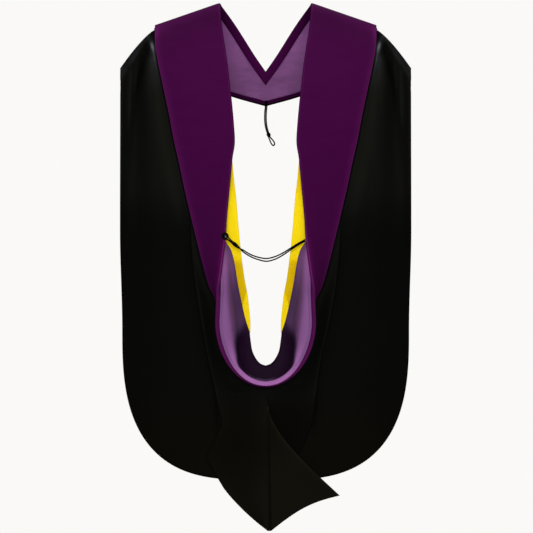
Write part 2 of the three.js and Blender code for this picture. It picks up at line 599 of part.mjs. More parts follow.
// The tail's flap, from the middle seam to its free edge. It stands in front of the right half.
function tailFlap() {
  const start = levelZ(FLAP_START_DROP);
  const corner = new THREE.Vector2(FLAP_HALF, -FLAP_DROP);
  const first = middleX(FLAP_START_DROP) + FLAP_HEAD;
  const grid = steps(9).map((t) => {
    const level = lerp(FLAP_START_DROP, TIP_DROP, t);
    const seam = new THREE.Vector2(middleX(level) + SEW_GAP, levelZ(level));
    const free = new THREE.Vector2(
      lerp(first, corner.x, column(FLAP_EDGE, "at", "across", t)),
      lerp(start, corner.y, column(FLAP_EDGE, "at", "down", t)),
    );
    const base = pouch(0, level, -1);
    return steps(6).map((s) => {
      const x = lerp(seam.x, free.x, s);
      const z = lerp(seam.y, free.y, s) + FLAP_RISE * t * t * Math.sin(Math.PI * s);
      return laid(x, z, 1, FRONT_LAYER, base + FLAP_CURL * s * s * Math.min(2 * t, 1));
    });
  });
  return clothSolid(grid, SHELL_WALL);
}

// A side panel: columns run from its shoulder edge down to its round foot.
function capeRelief(across, down) {
  let relief = 0;
  for (const fold of CAPE_FOLDS) {
    const beside = (across - fold.across) / fold.width;
    const fade = ease(down / FOLD_RISE) * (1 - ease((down - FOLD_FADE) / fold.reach));
    relief += fold.depth * Math.exp(-beside * beside) * fade;
  }
  return relief;
}

function cape(side) {
  const top = (across) => {
    const half = lerp(CAPE_HALF, SHOULDER_HALF - UNDERLAP, across);
    return new THREE.Vector2(half, ridgeZ(half));
  };
  const foot = (across) => {
    const turn = radians(90 * across);
    const reach = new THREE.Vector2(Math.cos(turn), Math.sin(turn));
    const size = (reach.x ** CORNER_POWER + reach.y ** CORNER_POWER) ** (-1 / CORNER_POWER);
    return new THREE.Vector2(
      CAPE_INNER_HALF + (CAPE_HALF - CAPE_INNER_HALF) * reach.x * size,
      -CAPE_CORNER_DROP - (CAPE_LENGTH - CAPE_CORNER_DROP) * reach.y * size,
    );
  };
  const archFalls = ARCH_LEVELS.map((level) => level * COWL_DROP - STACK);
  const grid = steps(12).map((across) => {
    const [from, to] = [top(across), foot(across)];
    const whole = from.y - to.y;
    const hang = steps(8).slice(1).map((t) => lerp(ARCH_DROP, whole, t));
    return [...archFalls, ...hang].map((fall) => {
      const x = lerp(from.x, to.x, fall / whole);
      const z = fall <= ARCH_DROP ? ridgeZ(x) - fall : from.y - fall;
      return sided(laid(x, z, 1, CAPE_LAYER, capeRelief(across, fall / whole)), side);
    });
  });
  return clothSolid(grid, SHELL_WALL);
}

// The purple satin that is turned out, from one side round the foot to the other.
// It starts under the velvet's edge and comes level with it where the crest has risen by this share.
const SATIN_UNDER_CREST = 0.7;
function satinLine(k, side) {
  const { end, direction, out } = VELVET_LINES[k];
  const { level, foot } = STATIONS[k];
  const turned = cowl("crest", Math.min(level, ROUND_DROP));
  const under = 1 - ease(turned / SATIN_UNDER_CREST);
  const from = end.clone().addScaledVector(direction, LINING_GAP);
  from.addScaledVector(out, -under * (LAYER_ROOM + (VELVET_WALL + SATIN_WALL) / 2));
  const half = Math.max(chevronHalf(level), foot ? INNER_HALF * foot.half : slotHalf(level));
  const to = laid(half, foot ? -COWL_DROP * foot.drop : levelZ(level), 1, SATIN_LAYER);
  const round = foot ? ease(foot.turn / 90) : 0;
  return SATIN_ROWS.map((row) => {
    const across = lerp(lerp(row.slope, row.sideIn, turned), row.footIn, round);
    const up = lerp(lerp(1 - row.slope, row.sideUp, turned), row.footUp, round);
    const x = foot && foot.turn === 90 ? 0 : lerp(from.x, to.x, across);
    return sided(new THREE.Vector3(x, lerp(to.y, from.y, up), lerp(from.z, to.z, across)), side);
  });
}

function satinLining() {
  const first = STATIONS.findIndex((station) => station.level > LIFT_OFF_DROP);
  const left = VELVET_LINES.map((_, k) => k).slice(first);
  const right = left.slice(0, -1).reverse();
  const grid = [...left.map((k) => satinLine(k, -1)), ...right.map((k) => satinLine(k, 1))];
  return clothSolid(grid, SATIN_WALL);
}

// A gold arm of the chevron, laid on the near-body layer beside the slot and under the satin's edge.
const CHEVRON_TOP = 0.367;
const CHEVRON_FOOT = 0.85;
function chevron(side) {
  const levels = [...BACK_LEVELS, ROUND_DROP, CHEVRON_FOOT].filter((level) => level >= CHEVRON_TOP);
  const grid = levels.map((level) => {
    const inner = slotHalf(level);
    const under = level < LIFT_OFF_DROP ? edgeHalf(level) : chevronHalf(level);
    return steps(3).map((t) => {
      const half = lerp(inner, Math.max(under, inner) + CHEVRON_UNDERLAP, t);
      return sided(laid(half, rowZ(level, half), 1, LINING_LAYER), side);
    });
  });
  return clothSolid(grid, SATIN_WALL);
}

// The satin on the inside of the neckband, from shoulder to shoulder, between the velvet's rim and its hem.
const PANELS = VELVET_LINES.map(({ line }) => line.slice(0, PANEL_STEPS + 1));
function neckbandLine(k, side) {
  const away = -((VELVET_WALL + SATIN_WALL) / 2 + LINING_GAP);
  const line = steps(PANEL_STEPS - 1).map((_, j) => {
    const normal = gridNormal(PANELS, k, j);
    const turned = normal.dot(VELVET_LINES[k].out) < 0 ? -1 : 1;
    return PANELS[k][j].clone().addScaledVector(normal, away * turned);
  });
  const [hem, next, before, rim] = [line[0], line[1], line[PANEL_STEPS - 2], line[PANEL_STEPS - 1]];
  const [start, end] = [next.clone().sub(hem), before.clone().sub(rim)];
  hem.addScaledVector(start.normalize(), HEM_SHOWN);
  rim.addScaledVector(end.normalize(), LINING_GAP);
  return line.map((p) => sided(k === 0 ? p.setX(0) : p, side));
}

// Rows of the neckband, from the wearer's left shoulder to the right one.
function neckbandRows(line) {
  const right = VELVET_LINES.map((_, k) => k).slice(0, CHEST_STEPS);
  const left = right.slice(1).reverse();
  return [...left.map((k) => line(k, -1)), ...right.map((k) => line(k, 1))];
}
const neckbandLining = () => clothSolid(neckbandRows(neckbandLine), SATIN_WALL);

// The black binding along the lower edge of the neckband.
function bindingLine(k, side) {
  const { line } = VELVET_LINES[k];
  const away = line[0].clone().sub(line[1]).normalize();
  return [SEW_GAP, BINDING_WIDTH].map((reach) => {
    const point = line[0].clone().addScaledVector(away, reach);
    if (k === 0) point.x = 0;
    return sided(point, side);
  });
}
const neckbandBinding = () => clothSolid(neckbandRows(bindingLine), VELVET_WALL);

// Where the button's stem stands on the left edge, and the way that it points.
function buttonSeat() {
  const { line, out } = VELVET_LINES[STATIONS.findIndex((station) => station.level === BUTTON_LEVEL)];
  const inward = line[PANEL_STEPS - 1].clone().sub(line[PANEL_STEPS]).normalize();
  const seat = line[PANEL_STEPS].clone().addScaledVector(inward, BUTTON_INSET);
  return { seat: sided(seat.addScaledVector(out, VELVET_WALL / 2 + SEW_GAP), -1), out: sided(out, -1) };
}

function button() {
  const profile = [
    new THREE.Vector2(0, 0),
    new THREE.Vector2(STEM_RADIUS, 0),
    new THREE.Vector2(STEM_RADIUS, STEM_HEIGHT),
    new THREE.Vector2(BUTTON_RADIUS * 0.9, STEM_HEIGHT),
    new THREE.Vector2(BUTTON_RADIUS, STEM_HEIGHT + BUTTON_HEIGHT * 0.25),
  ];
  for (const t of steps(4).slice(1)) {
    const angle = radians(90 * t);
    profile.push(
      new THREE.Vector2(
        t < 1 ? BUTTON_RADIUS * Math.cos(angle) : 0,
        STEM_HEIGHT + BUTTON_HEIGHT * (0.25 + 0.75 * Math.sin(angle)),
      ),
    );
  }
  const { seat, out } = buttonSeat();
  return turnedPiece(profile, 14, seat, out);
}

function cordTube(points, count) {
  const section = new THREE.Shape();
  section.absarc(0, 0, CORD_WIDTH / 2, 0, 2 * Math.PI);
  return new THREE.ExtrudeGeometry(section, {
    steps: count,
    curveSegments: 4,
    bevelEnabled: false,
    extrudePath: new THREE.CatmullRomCurve3(points, false, "centripetal"),
  });
}

// The cord that holds the lining open: out from the right edge, round the button's stem and back.
const CORD_PULL = new THREE.Vector3(0.85, 0, -0.53);
function cordFrame() {
  const { seat, out } = buttonSeat();
  const pull = CORD_PULL.clone();
  pull.addScaledVector(out, -pull.dot(out)).normalize();
  const beside = new THREE.Vector3().crossVectors(out, pull);
  return { stem: seat.addScaledVector(out, STEM_HEIGHT / 2), pull, beside };
}
function cordEnd() {
  const { line } = VELVET_LINES[STATIONS.findIndex((station) => station.level === BUTTON_LEVEL)];
  const nose = line[PANEL_STEPS + 1].clone();
  return nose.setX(nose.x - VELVET_WALL / 2 - 2 * SEW_GAP);
}
function liningCordPoints() {
  const { stem, pull, beside } = cordFrame();
  const finish = cordEnd();
  const loop = (row, sign) =>
    stem.clone().addScaledVector(pull, row.along).addScaledVector(beside, sign * row.beside);
  const strand = (row, sign) => {
    const y = lerp(stem.y, finish.y, clamp((row.x - stem.x) / (finish.x - stem.x), 0, 1));
    return new THREE.Vector3(row.x, y, -row.drop - sign * row.apart);
  };
  const end = (sign) => finish.clone().setZ(finish.z - sign * STRAND_APART);
  const first = STRAND_ROWS.map((row) => strand(row, 1)).reverse();
  const last = STRAND_ROWS.map((row) => strand(row, -1));
  const over = CORD_LOOP.map((row) => loop(row, 1));
  const under = CORD_LOOP.slice(0, -1).reverse().map((row) => loop(row, -1));
  return [end(1), ...first, ...over, ...under, ...last, end(-1)];
}

// A turned piece whose profile stands on a point and whose axis points along a direction.
function turnedPiece(profile, sides, seat, direction) {
  const geometry = new THREE.LatheGeometry(profile, sides);
  const axis = direction.clone().normalize();
  geometry.applyQuaternion(new THREE.Quaternion().setFromUnitVectors(new THREE.Vector3(0, 1, 0), axis));
  geometry.translate(...seat.toArray());
  return geometry;
}

// A barrel-shaped slide or knot with a hole for a pair of cords.
function cordRing(centre, direction, radius, length) {
  const [hole, half] = [CORD_WIDTH / 2 + STRAND_APART + SEW_GAP, length / 2];
  const profile = [
    [hole, -half],
    [radius * 0.8, -half],
    [radius, -half * 0.4],
    [radius, half * 0.4],
    [radius * 0.8, half],
    [hole, half],
    [hole, -half],
  ];
  return turnedPiece(profile.map((p) => new THREE.Vector2(...p)), 12, centre, direction);
}

function cordSlide() {
  const { stem, pull } = cordFrame();
  return cordRing(stem.addScaledVector(pull, SLIDE_PLACE), pull, SLIDE_RADIUS, SLIDE_LENGTH);
}

// The loop that fastens the neckband to a button of the wearer's clothes.
function neckCordStart() {
  const foot = VELVET_LINES[0].line[0];
  return new THREE.Vector3(0, foot.y, foot.z - BINDING_WIDTH - 2 * SEW_GAP);
}
function neckCordPoints() {
  const start = neckCordStart();
  const point = (x, drop) => new THREE.Vector3(x, start.y, start.z - drop);
  return [
    ...NECK_CORD_ROWS.map((row) => point(row.x - row.apart, row.drop)),
    ...NECK_LOOP.map((row) => point(row.x, row.drop)),
    ...[...NECK_CORD_ROWS].reverse().map((row) => point(row.x + row.apart, row.drop)),
  ];
}
function neckKnot() {
  const start = neckCordStart();
  const [above, below] = NECK_CORD_ROWS.slice(-3, -1);
  const direction = new THREE.Vector3(below.x - above.x, 0, above.drop - below.drop);
  const centre = new THREE.Vector3(below.x, start.y, start.z - below.drop);
  return cordRing(centre, direction, KNOT_RADIUS, KNOT_LENGTH);
}

// Finishes.
const FINISHES = {
  velvet: { color: 0x41093c, roughness: 0.95, metalness: 0 },
  black: { color: 0x0b0b0a, roughness: 0.7, metalness: 0 },
  satin: { color: 0x7d5284, roughness: 0.4, metalness: 0 },
  gold: { color: 0xe5c818, roughness: 0.45, metalness: 0 },
  cord: { color: 0x080808, roughness: 0.6, metalness: 0 },
};

const hood = new THREE.Group();
hood.name = "academic_hood";
function add(name, geometry, finish) {
  const mesh = new THREE.Mesh(geometry, new THREE.MeshStandardMaterial(FINISHES[finish]));
  mesh.name = name;
  hood.add(mesh);
}

for (const [name, side] of [
  ["left", -1],
  ["right", 1],
]) {
  add(`velvet_${name}`, velvet(side), "velvet");
  add(`cowl_${name}`, cowlShell(side), "black");
  add(`cape_${name}`, cape(side), "black");
  add(`chevron_${name}`, chevron(side), "gold");
}
add("tail_flap", tailFlap(), "black");
add("satin_lining", satinLining(), "satin");
add("neckband_lining", neckbandLining(), "satin");
add("neckband_binding", neckbandBinding(), "black");
add("button", button(), "cord");
add("lining_cord", cordTube(liningCordPoints(), 78), "cord");
add("cord_slide", cordSlide(), "cord");
add("neck_cord", cordTube(neckCordPoints(), 60), "cord");
add("neck_knot", neckKnot(), "cord");

export default hood;
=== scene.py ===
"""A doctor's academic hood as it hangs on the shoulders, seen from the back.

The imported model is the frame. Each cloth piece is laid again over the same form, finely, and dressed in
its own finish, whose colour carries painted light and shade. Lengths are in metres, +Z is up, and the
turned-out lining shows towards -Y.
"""

from __future__ import annotations

import logging
import math
from dataclasses import dataclass, field
from enum import Enum
from typing import Callable, Iterable, Sequence, TypeVar

import bmesh
import bpy
from mathutils import Matrix, Vector

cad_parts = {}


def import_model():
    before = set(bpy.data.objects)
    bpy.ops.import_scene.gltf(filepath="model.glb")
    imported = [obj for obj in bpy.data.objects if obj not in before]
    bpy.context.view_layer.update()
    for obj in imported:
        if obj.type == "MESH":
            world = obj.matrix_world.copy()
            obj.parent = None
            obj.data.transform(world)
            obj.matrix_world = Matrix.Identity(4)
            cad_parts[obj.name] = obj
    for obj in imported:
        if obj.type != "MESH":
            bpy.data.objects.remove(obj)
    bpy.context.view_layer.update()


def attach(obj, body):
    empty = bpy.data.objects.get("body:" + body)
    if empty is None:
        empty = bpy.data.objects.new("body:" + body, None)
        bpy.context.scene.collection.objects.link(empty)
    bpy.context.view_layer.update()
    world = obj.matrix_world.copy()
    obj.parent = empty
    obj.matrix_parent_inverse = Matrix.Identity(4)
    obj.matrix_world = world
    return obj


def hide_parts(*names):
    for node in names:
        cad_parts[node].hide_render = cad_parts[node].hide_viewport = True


log = logging.getLogger("hood")

Grid = list[list[Vector]]
Colour = tuple[float, float, float, float]
Place = TypeVar("Place", float, Vector)


def lerp(a: float, b: float, t: float) -> float:
    """The value a share t of the way from a to b."""
    return a + (b - a) * t


def clamp(value: float, low: float = 0.0, high: float = 1.0) -> float:
    """The value, held between low and high."""
    return min(max(value, low), high)


def ease(t: float) -> float:
    """A smooth step from 0 to 1 as t goes from 0 to 1."""
    t = clamp(t)
    return t * t * (3 - 2 * t)


def bell(distance: float, width: float) -> float:
    """A smooth hump of height 1 at distance 0."""
    return math.exp(-((distance / width) ** 2))


def hermite(t: float, start: Place, end: Place, leave: Place, arrive: Place) -> Place:
    """A smooth way between two values, given how fast it leaves the first and arrives."""
    t2, t3 = t * t, t * t * t
    first = (2 * t3 - 3 * t2 + 1) * start + (t3 - 2 * t2 + t) * leave
    return first + (3 * t2 - 2 * t3) * end + (t3 - t2) * arrive


def shares(count: int) -> list[float]:
    """The shares 0, 1/count, and so on up to 1."""
    return [k / count for k in range(count + 1)]


def from_screen(red: int, green: int, blue: int) -> Colour:
    """A linear colour from the eight-bit values that a screen shows."""
    linear = [((c / 255 + 0.055) / 1.055) ** 2.4 if c > 10 else c / 255 / 12.92 for c in (red, green, blue)]
    return (*linear, 1.0)


@dataclass(frozen=True)
class Reach:
    """A stretch over which something comes in smoothly, and goes out again where it has a stop."""

    start: float = -math.inf
    rise: float = 1.0
    stop: float = math.inf
    fall: float = 1.0

    def at(self, place: float) -> float:
        """How much of it there is at a place, from 0 to 1."""
        return ease((place - self.start) / self.rise) * (1 - ease((place - self.stop) / self.fall))


@dataclass(frozen=True)
class Streak:
    """A soft line of tone or of height beside some line of the cloth; a negative one is dark or hollow."""

    amount: float
    width: float
    aside: float = 0.0
    reach: Reach = Reach()

    def at(self, beside: float, along: float = 0.0) -> float:
        """What it adds at a distance beside the line, at a place along it."""
        return self.amount * bell(beside - self.aside, self.width) * self.reach.at(along)


class Side(Enum):
    """The two halves of the hood, as they lie in the view from behind."""

    LEFT = -1
    RIGHT = 1

    @property
    def label(self) -> str:
        """The word for the side in a piece's name."""
        return self.name.lower()


class Table:
    """A short table with named columns, read smoothly between its rows."""

    def __init__(self, names: str, *rows: tuple[float, ...]) -> None:
        """Keeps the rows.

        Args:
            names: The names of the columns, the first of which is the one that is looked up.
            rows: One tuple of values for each row, in order of the first column.
        """
        self.names = names.split()
        self.rows = rows

    def at(self, name: str, place: float) -> float:
        """The smooth value of a column at a place.

        Args:
            name: The column.
            place: The place in the first column, held inside the table's range.

        Returns:
            The value of the column there.
        """
        rows, column, last = self.rows, self.names.index(name), len(self.rows) - 1
        place = clamp(place, rows[0][0], rows[last][0])
        i = 0
        while i < last - 1 and rows[i + 1][0] < place:
            i += 1

        def slope(k: int) -> float:
            """The table's slope at a row."""
            a, b = rows[max(k - 1, 0)], rows[min(k + 1, last)]
            return (b[column] - a[column]) / (b[0] - a[0])

        span = rows[i + 1][0] - rows[i][0]
        t = (place - rows[i][0]) / span
        return hermite(t, rows[i][column], rows[i + 1][column], span * slope(i), span * slope(i + 1))


@dataclass(frozen=True)
class HoodSizes:
    """The driving sizes of the hood, as the frame has them. Widths are from the middle of the back."""

    neck_half: float = 0.091
    neck_bow: float = 0.0032
    neck_bow_power: float = 0.66
    seam_tuck: float = 0.0013
    velvet_width: float = 0.1245
    cowl_half: float = 0.0962
    strip_width: float = 0.0315
    inner_half: float = 0.0302
    cape_half: float = 0.2837
    cape_inner_half: float = 0.030
    chest_strap: float = 0.0615
    cowl_drop: float = 0.749
    tail_length: float = 0.2855
    cape_length: float = 0.931
    cape_corner_drop: float = 0.640
    throat_drop: float = 0.136
    shoulder_fall: float = 0.043
    sleeve_fall: float = 0.0525
    back_depth: float = 0.100
    chest_depth: float = 0.100
    side_wrap: float = 0.095
    chest_wrap: float = 0.060
    blade_depth: float = 0.010
    arch_drop: float = 0.090
    blade_drop: float = 0.270
    wrap_power: float = 3.0
    sleeve_power: float = 1.43
    shell_wall: float = 0.0018
    velvet_wall: float = 0.0018
    satin_wall: float = 0.001
    sew_gap: float = 0.0003
    lining_gap: float = 0.0008
    fold_radius: float = 0.00125
    rim_inside: float = 0.0135
    rim_hidden: float = 0.012
    rim_shown: float = 0.0053
    hem_shown: float = 0.0065
    binding_width: float = 0.0042
    binding_beyond: float = 0.7
    cape_layer: float = 0.001
    near_layer: float = 0.004
    front_layer: float = 0.0066
    layer_room: float = 0.0009
    chest_layer: float = 0.004
    pouch_depth: float = 0.045
    crest_height: float = 0.020
    overhang: float = 0.006
    right_tuck: float = 0.45
    seam_swing: float = 0.0064
    tail_swing: float = 0.0039
    flap_half: float = 0.1425
    flap_drop: float = 0.9612
    flap_rise: float = 0.0115
    flap_curl: float = 0.016
    flap_head: float = -0.0042
    underlap: float = 0.012
    seam_underlap: float = 0.002
    hem: float = 0.0015
    seam_groove: float = 0.0009
    seam_width: float = 0.0014
    tip_underlap: float = 0.008
    chevron_underlap: float = 0.009

    @property
    def velvet_layer(self) -> float:
        """Height of the velvet's middle above the form."""
        return self.front_layer + (self.shell_wall + self.velvet_wall) / 2 + self.layer_room

    @property
    def lining_layer(self) -> float:
        """Height of the gold cloth's middle above the form."""
        return self.near_layer + (self.shell_wall + self.satin_wall) / 2 + self.sew_gap

    @property
    def satin_layer(self) -> float:
        """Height of the satin's inner edge above the form."""
        return self.lining_layer + self.satin_wall + self.layer_room

    @property
    def stack(self) -> float:
        """From the form to the velvet's face."""
        return self.velvet_layer + self.velvet_wall / 2

    @property
    def shoulder_half(self) -> float:
        """To the velvet's outer seam on the shoulder."""
        return self.neck_half + self.velvet_width

    @property
    def arch_level(self) -> float:
        """The level where the back hangs free of the rounded shoulder."""
        return (self.stack + self.arch_drop) / self.cowl_drop


SIZES = HoodSizes()

# The cowl at each level: drop is 0 at the shoulder and 1 at the foot of the turned-out edge.
COWL = Table(
    "drop edge velvet strip inner puff crest turn",
    (0.0, 1.0, 1.0, -0.03, 0.985, 0.0, 0.0, 180),
    (0.063, 0.954, 0.998, -0.03, 0.921, 0.0, 0.0, 180),
    (0.145, 0.837, 0.995, -0.03, 0.836, 0.02, 0.0, 180),
    (0.249, 0.735, 0.953, -0.03, 0.727, 0.08, 0.0, 180),
    (0.328, 0.674, 0.908, -0.03, 0.647, 0.14, 0.0, 180),
    (0.367, 0.661, 0.871, -0.03, 0.606, 0.18, 0.0, 180),
    (0.406, 0.706, 0.789, -0.03, 0.531, 0.22, 0.0, 180),
    (0.458, 0.74, 0.705, -0.03, 0.475, 0.28, 0.0, 180),
    (0.511, 0.777, 0.61, 0.0, 0.407, 0.36, 0.0, 180),
    (0.563, 0.81, 0.515, 0.13, 0.359, 0.44, 0.0, 180),
    (0.615, 0.83, 0.428, 0.34, 0.306, 0.52, 0.04, 176),
    (0.668, 0.877, 0.33, 0.517, 0.244, 0.62, 0.35, 150),
    (0.72, 0.931, 0.222, 0.632, 0.164, 0.72, 0.7, 125),
    (0.745, 0.96, 0.156, 0.724, 0.11, 0.765, 0.87, 114),
    (0.772, 0.981, 0.067, 0.905, 0.058, 0.81, 1.0, 105),
    (0.83, 1.0, 0.0, 0.9, -0.01, 0.88, 1.0, 103),
)
LIFT_OFF_DROP = 0.615
RIM_START_DROP = 0.65
WALL_DROP = 0.772
ROUND_DROP = 0.83

# The slot's foot at each angle round the foot of the turned-out edge, and the velvet rim that shows there.
FOOT = Table(
    "turn half drop rim",
    (0, 0.98, 0.83, 1.0),
    (15, 1.02, 0.859, 1.0),
    (30, 0.95, 0.885, 0.9),
    (45, 0.85, 0.908, 0.6),
    (60, 0.61, 0.928, 0.25),
    (75, 0.34, 0.94, 0.02),
    (90, 0.0, 0.9455, 0.01),
)

# The seam between the satin and the gold chevron, as a share of the cowl's half-width.
CHEVRON = Table(
    "drop half",
    (0.622, 0.814),
    (0.645, 0.7),
    (0.68, 0.629),
    (0.732, 0.563),
    (0.782, 0.484),
    (0.826, 0.405),
    (0.857, 0.326),
    (0.88, 0.26),
)

# The satin from its rim to its inner edge, in shares of the way and of the height.
SATIN = Table(
    "slope side_in side_up foot_in foot_up",
    (0.0, 0.0, 1.0, 0.0, 1.0),
    (0.14, 0.14, 1.04, 0.1, 1.02),
    (0.28, 0.29, 1.02, 0.2, 0.98),
    (0.42, 0.42, 0.92, 0.27, 0.84),
    (0.55, 0.52, 0.7, 0.2, 0.6),
    (0.67, 0.6, 0.42, 0.0, 0.38),
    (0.78, 0.7, 0.17, -0.15, 0.14),
    (0.89, 0.84, 0.04, 0.35, 0.03),
    (1.0, 1.0, 0.0, 1.0, 0.0),
)

# Where each half of the cowl folds under, below the turned-out edge; drop runs on to 2 at the tail's tip.
TAIL = Table(
    "drop left right puff",
    (0.772, 1.027, 1.027, 0.81),
    (0.83, 0.974, 0.963, 0.88),
    (0.88, 0.921, 0.9, 0.93),
    (0.929, 0.868, 0.836, 0.97),
    (1.0, 0.779, 0.775, 1.0),
    (1.12, 0.722, 0.735, 1.0),
    (1.25, 0.663, 0.697, 0.92),
    (1.37, 0.773, 0.6, 0.82),
    (1.482, 0.882, 0.46, 0.74),
    (1.551, 0.814, 0.35, 0.68),
    (1.642, 0.7, 0.2, 0.62),
    (1.712, 0.601, 0.1, 0.57),
    (1.82, 0.387, 0.1, 0.5),
    (1.914, 0.161, 0.1, 0.44),
    (2.0, -0.08, 0.1, 0.4),
)
RIGHT_FOOT_DROP = 1.6
FLAP_START_DROP = 1.136
TIP_DROP = 1.985
SWING_DROP = 1.17
TUCK_DROP = 1.05
TUCKED_DROP = 1.25
SEAM_TUCK_REACH = Reach(stop=0.24, fall=0.1)

# The flap's free edge, from the middle seam to its corner.
FLAP_EDGE = Table(
    "at across down",
    (0.0, 0.0, 0.0),
    (0.15, 0.07, 0.141),
    (0.31, 0.183, 0.298),
    (0.45, 0.297, 0.422),
    (0.64, 0.492, 0.598),
    (0.83, 0.719, 0.783),
    (1.0, 1.0, 1.0),
)

# The neckband's lower edge, from the shoulder to the middle of the chest.
CHEST = Table(
    "at half fall",
    (0.0, 1.0, 0.0),
    (0.2, 0.885, 0.22),
    (0.4, 0.74, 0.46),
    (0.6, 0.56, 0.69),
    (0.8, 0.33, 0.858),
    (1.0, 0.0, 1.0),
)


class Form:
    """The wearer's form that the cloth follows. It isn't built."""

    SLOPE_STEP = 0.0005

    def __init__(self, sizes: HoodSizes) -> None:
        """Keeps the hood's sizes."""
        self.s = sizes

    def ridge(self, half: float) -> float:
        """The height of the shoulder's line at a distance from the middle."""
        s = self.s
        slope = s.shoulder_fall * max(half - s.neck_half, 0) / s.velvet_width
        beyond = clamp((half - s.shoulder_half) / (s.cape_half - s.shoulder_half))
        return -s.stack - slope - s.sleeve_fall * beyond**s.sleeve_power

    def depth(self, half: float, face: int) -> float:
        """The depth of the form behind the neck's axis; face is 1 on the back and -1 on the chest."""
        s = self.s
        wrap = (min(half, s.cape_half) / s.cape_half) ** s.wrap_power
        return s.back_depth - s.side_wrap * wrap if face > 0 else s.chest_depth - s.chest_wrap * wrap

    def spot(self, x: float, arch: float, z: float, face: int) -> Vector:
        """A point of the form, given how far round the shoulder's arch it lies."""
        s, half = self.s, abs(x)
        below = max(self.ridge(half) - s.arch_drop - z, 0)
        blade = s.blade_depth * ease(below / s.blade_drop) if face > 0 else 0
        deep = self.depth(half, face) * math.sin(arch) + blade
        return Vector((x, -face * deep, self.ridge(half) - s.arch_drop * (1 - math.cos(arch)) - below))

    def laid(self, x: float, z: float, face: int, layer: float, lift: float = 0.0) -> Vector:
        """A point of cloth on the form.

        Args:
            x: Its distance from the middle.
            z: Its height.
            face: 1 on the back and -1 on the chest.
            layer: Its height above the form, along the form's normal.
            lift: More height, straight towards whoever looks at that face.

        Returns:
            The point.
        """
        arch = math.acos(1 - clamp((self.ridge(abs(x)) - z) / self.s.arch_drop))
        point = self.spot(x, arch, z, face)
        step = self.SLOPE_STEP
        across = self.spot(x + step, arch, z, face) - self.spot(x - step, arch, z, face)
        deep = self.depth(abs(x), face)
        down = Vector((0, -face * deep * math.cos(arch), -self.s.arch_drop * math.sin(arch)))
        normal = across.cross(down).normalized()
        if normal.dot(Vector((0, -face * math.sin(arch), math.cos(arch)))) < 0:
            normal.negate()
        point += layer * normal
        point.y -= face * lift
        return point


class Pattern:
    """The hood's lines: where each seam, fold and edge lies at each level."""

    def __init__(self, sizes: HoodSizes, form: Form) -> None:
        """Keeps the sizes and the form."""
        self.s = sizes
        self.form = form

    def level_z(self, level: float) -> float:
        """The height of a level of the back."""
        return -(min(level, 1) * self.s.cowl_drop + max(level - 1, 0) * self.s.tail_length)

    def foot_point(self, angle: float, inward: float) -> tuple[float, float]:
        """A point round the half-ellipse at the foot of the turned-out edge, moved in by a distance."""
        s = self.s
        drop = s.cowl_drop * (1 - ROUND_DROP)
        normal = Vector((math.cos(angle) / s.cowl_half, -math.sin(angle) / drop)).normalized()
        x = s.cowl_half * math.cos(angle) - inward * normal.x
        z = self.level_z(ROUND_DROP) - drop * math.sin(angle) - inward * normal.y
        return max(x, 0), z

    def edge_half(self, level: float) -> float:
        """The half-width to the turned-out edge."""
        if level > ROUND_DROP:
            return self.foot_point(math.asin(clamp((level - ROUND_DROP) / (1 - ROUND_DROP))), 0)[0]
        return lerp(self.s.neck_half, self.s.cowl_half, clamp(level / WALL_DROP)) * COWL.at("edge", level)

    def seam_half(self, level: float) -> float:
        """The half-width to the velvet's outer seam."""
        return self.edge_half(level) + self.s.velvet_width * COWL.at("velvet", min(level, ROUND_DROP))

    def slot_half(self, level: float) -> float:
        """The half-width to the near-body edge."""
        return lerp(self.s.inner_half, self.s.cowl_half, COWL.at("inner", level))

    def fold_half(self, level: float, side: Side) -> float:
        """The half-width to the fold of one half of the cowl."""
        if level <= WALL_DROP:
            return self.seam_half(level) + self.s.strip_width * COWL.at("strip", level)
        return (self.s.cowl_half + self.s.strip_width) * TAIL.at(side.label, level)

    def middle_x(self, level: float) -> float:
        """The place of the middle seam, which swings to one side down the tail."""
        seam = self.s.seam_swing * ease((level - 1) / (SWING_DROP - 1))
        return seam + self.s.tail_swing * ease((level - SWING_DROP) / (2 - SWING_DROP))

    def row_z(self, level: float, half: float) -> float:
        """The height of a row of cloth, which follows the shoulder at the top and is level at the foot."""
        slant = clamp((WALL_DROP - level) / (WALL_DROP - self.s.arch_level))
        return self.level_z(level) + slant * (self.form.ridge(half) + self.s.stack)

    def pouch(self, half: float, level: float, side: Side) -> float:
        """How far the front of the cowl stands off the near-body layer."""
        puff = COWL.at("puff", level) if level <= ROUND_DROP else TAIL.at("puff", level)
        inner = self.edge_half(level)
        outer = max(self.fold_half(level, side), inner + 0.001)
        fade = 1 - ease((half - inner) / (outer - inner))
        tuck = 1.0
        if side is Side.RIGHT:
            tuck -= self.s.right_tuck * ease((level - TUCK_DROP) / (TUCKED_DROP - TUCK_DROP))
        return self.s.pouch_depth * puff * fade * tuck


@dataclass
class Station:
    """One place along the velvet edging, with the line that runs from its seam to its edge there."""

    face: int
    level: float
    point: Callable[[float], Vector]
    rim: float
    wrap: float
    foot: float | None = None


@dataclass
class EdgeLine:
    """The velvet across one station, on the right half."""

    panel: list[Vector]
    turned: list[Vector]
    end: Vector
    direction: Vector
    out: Vector


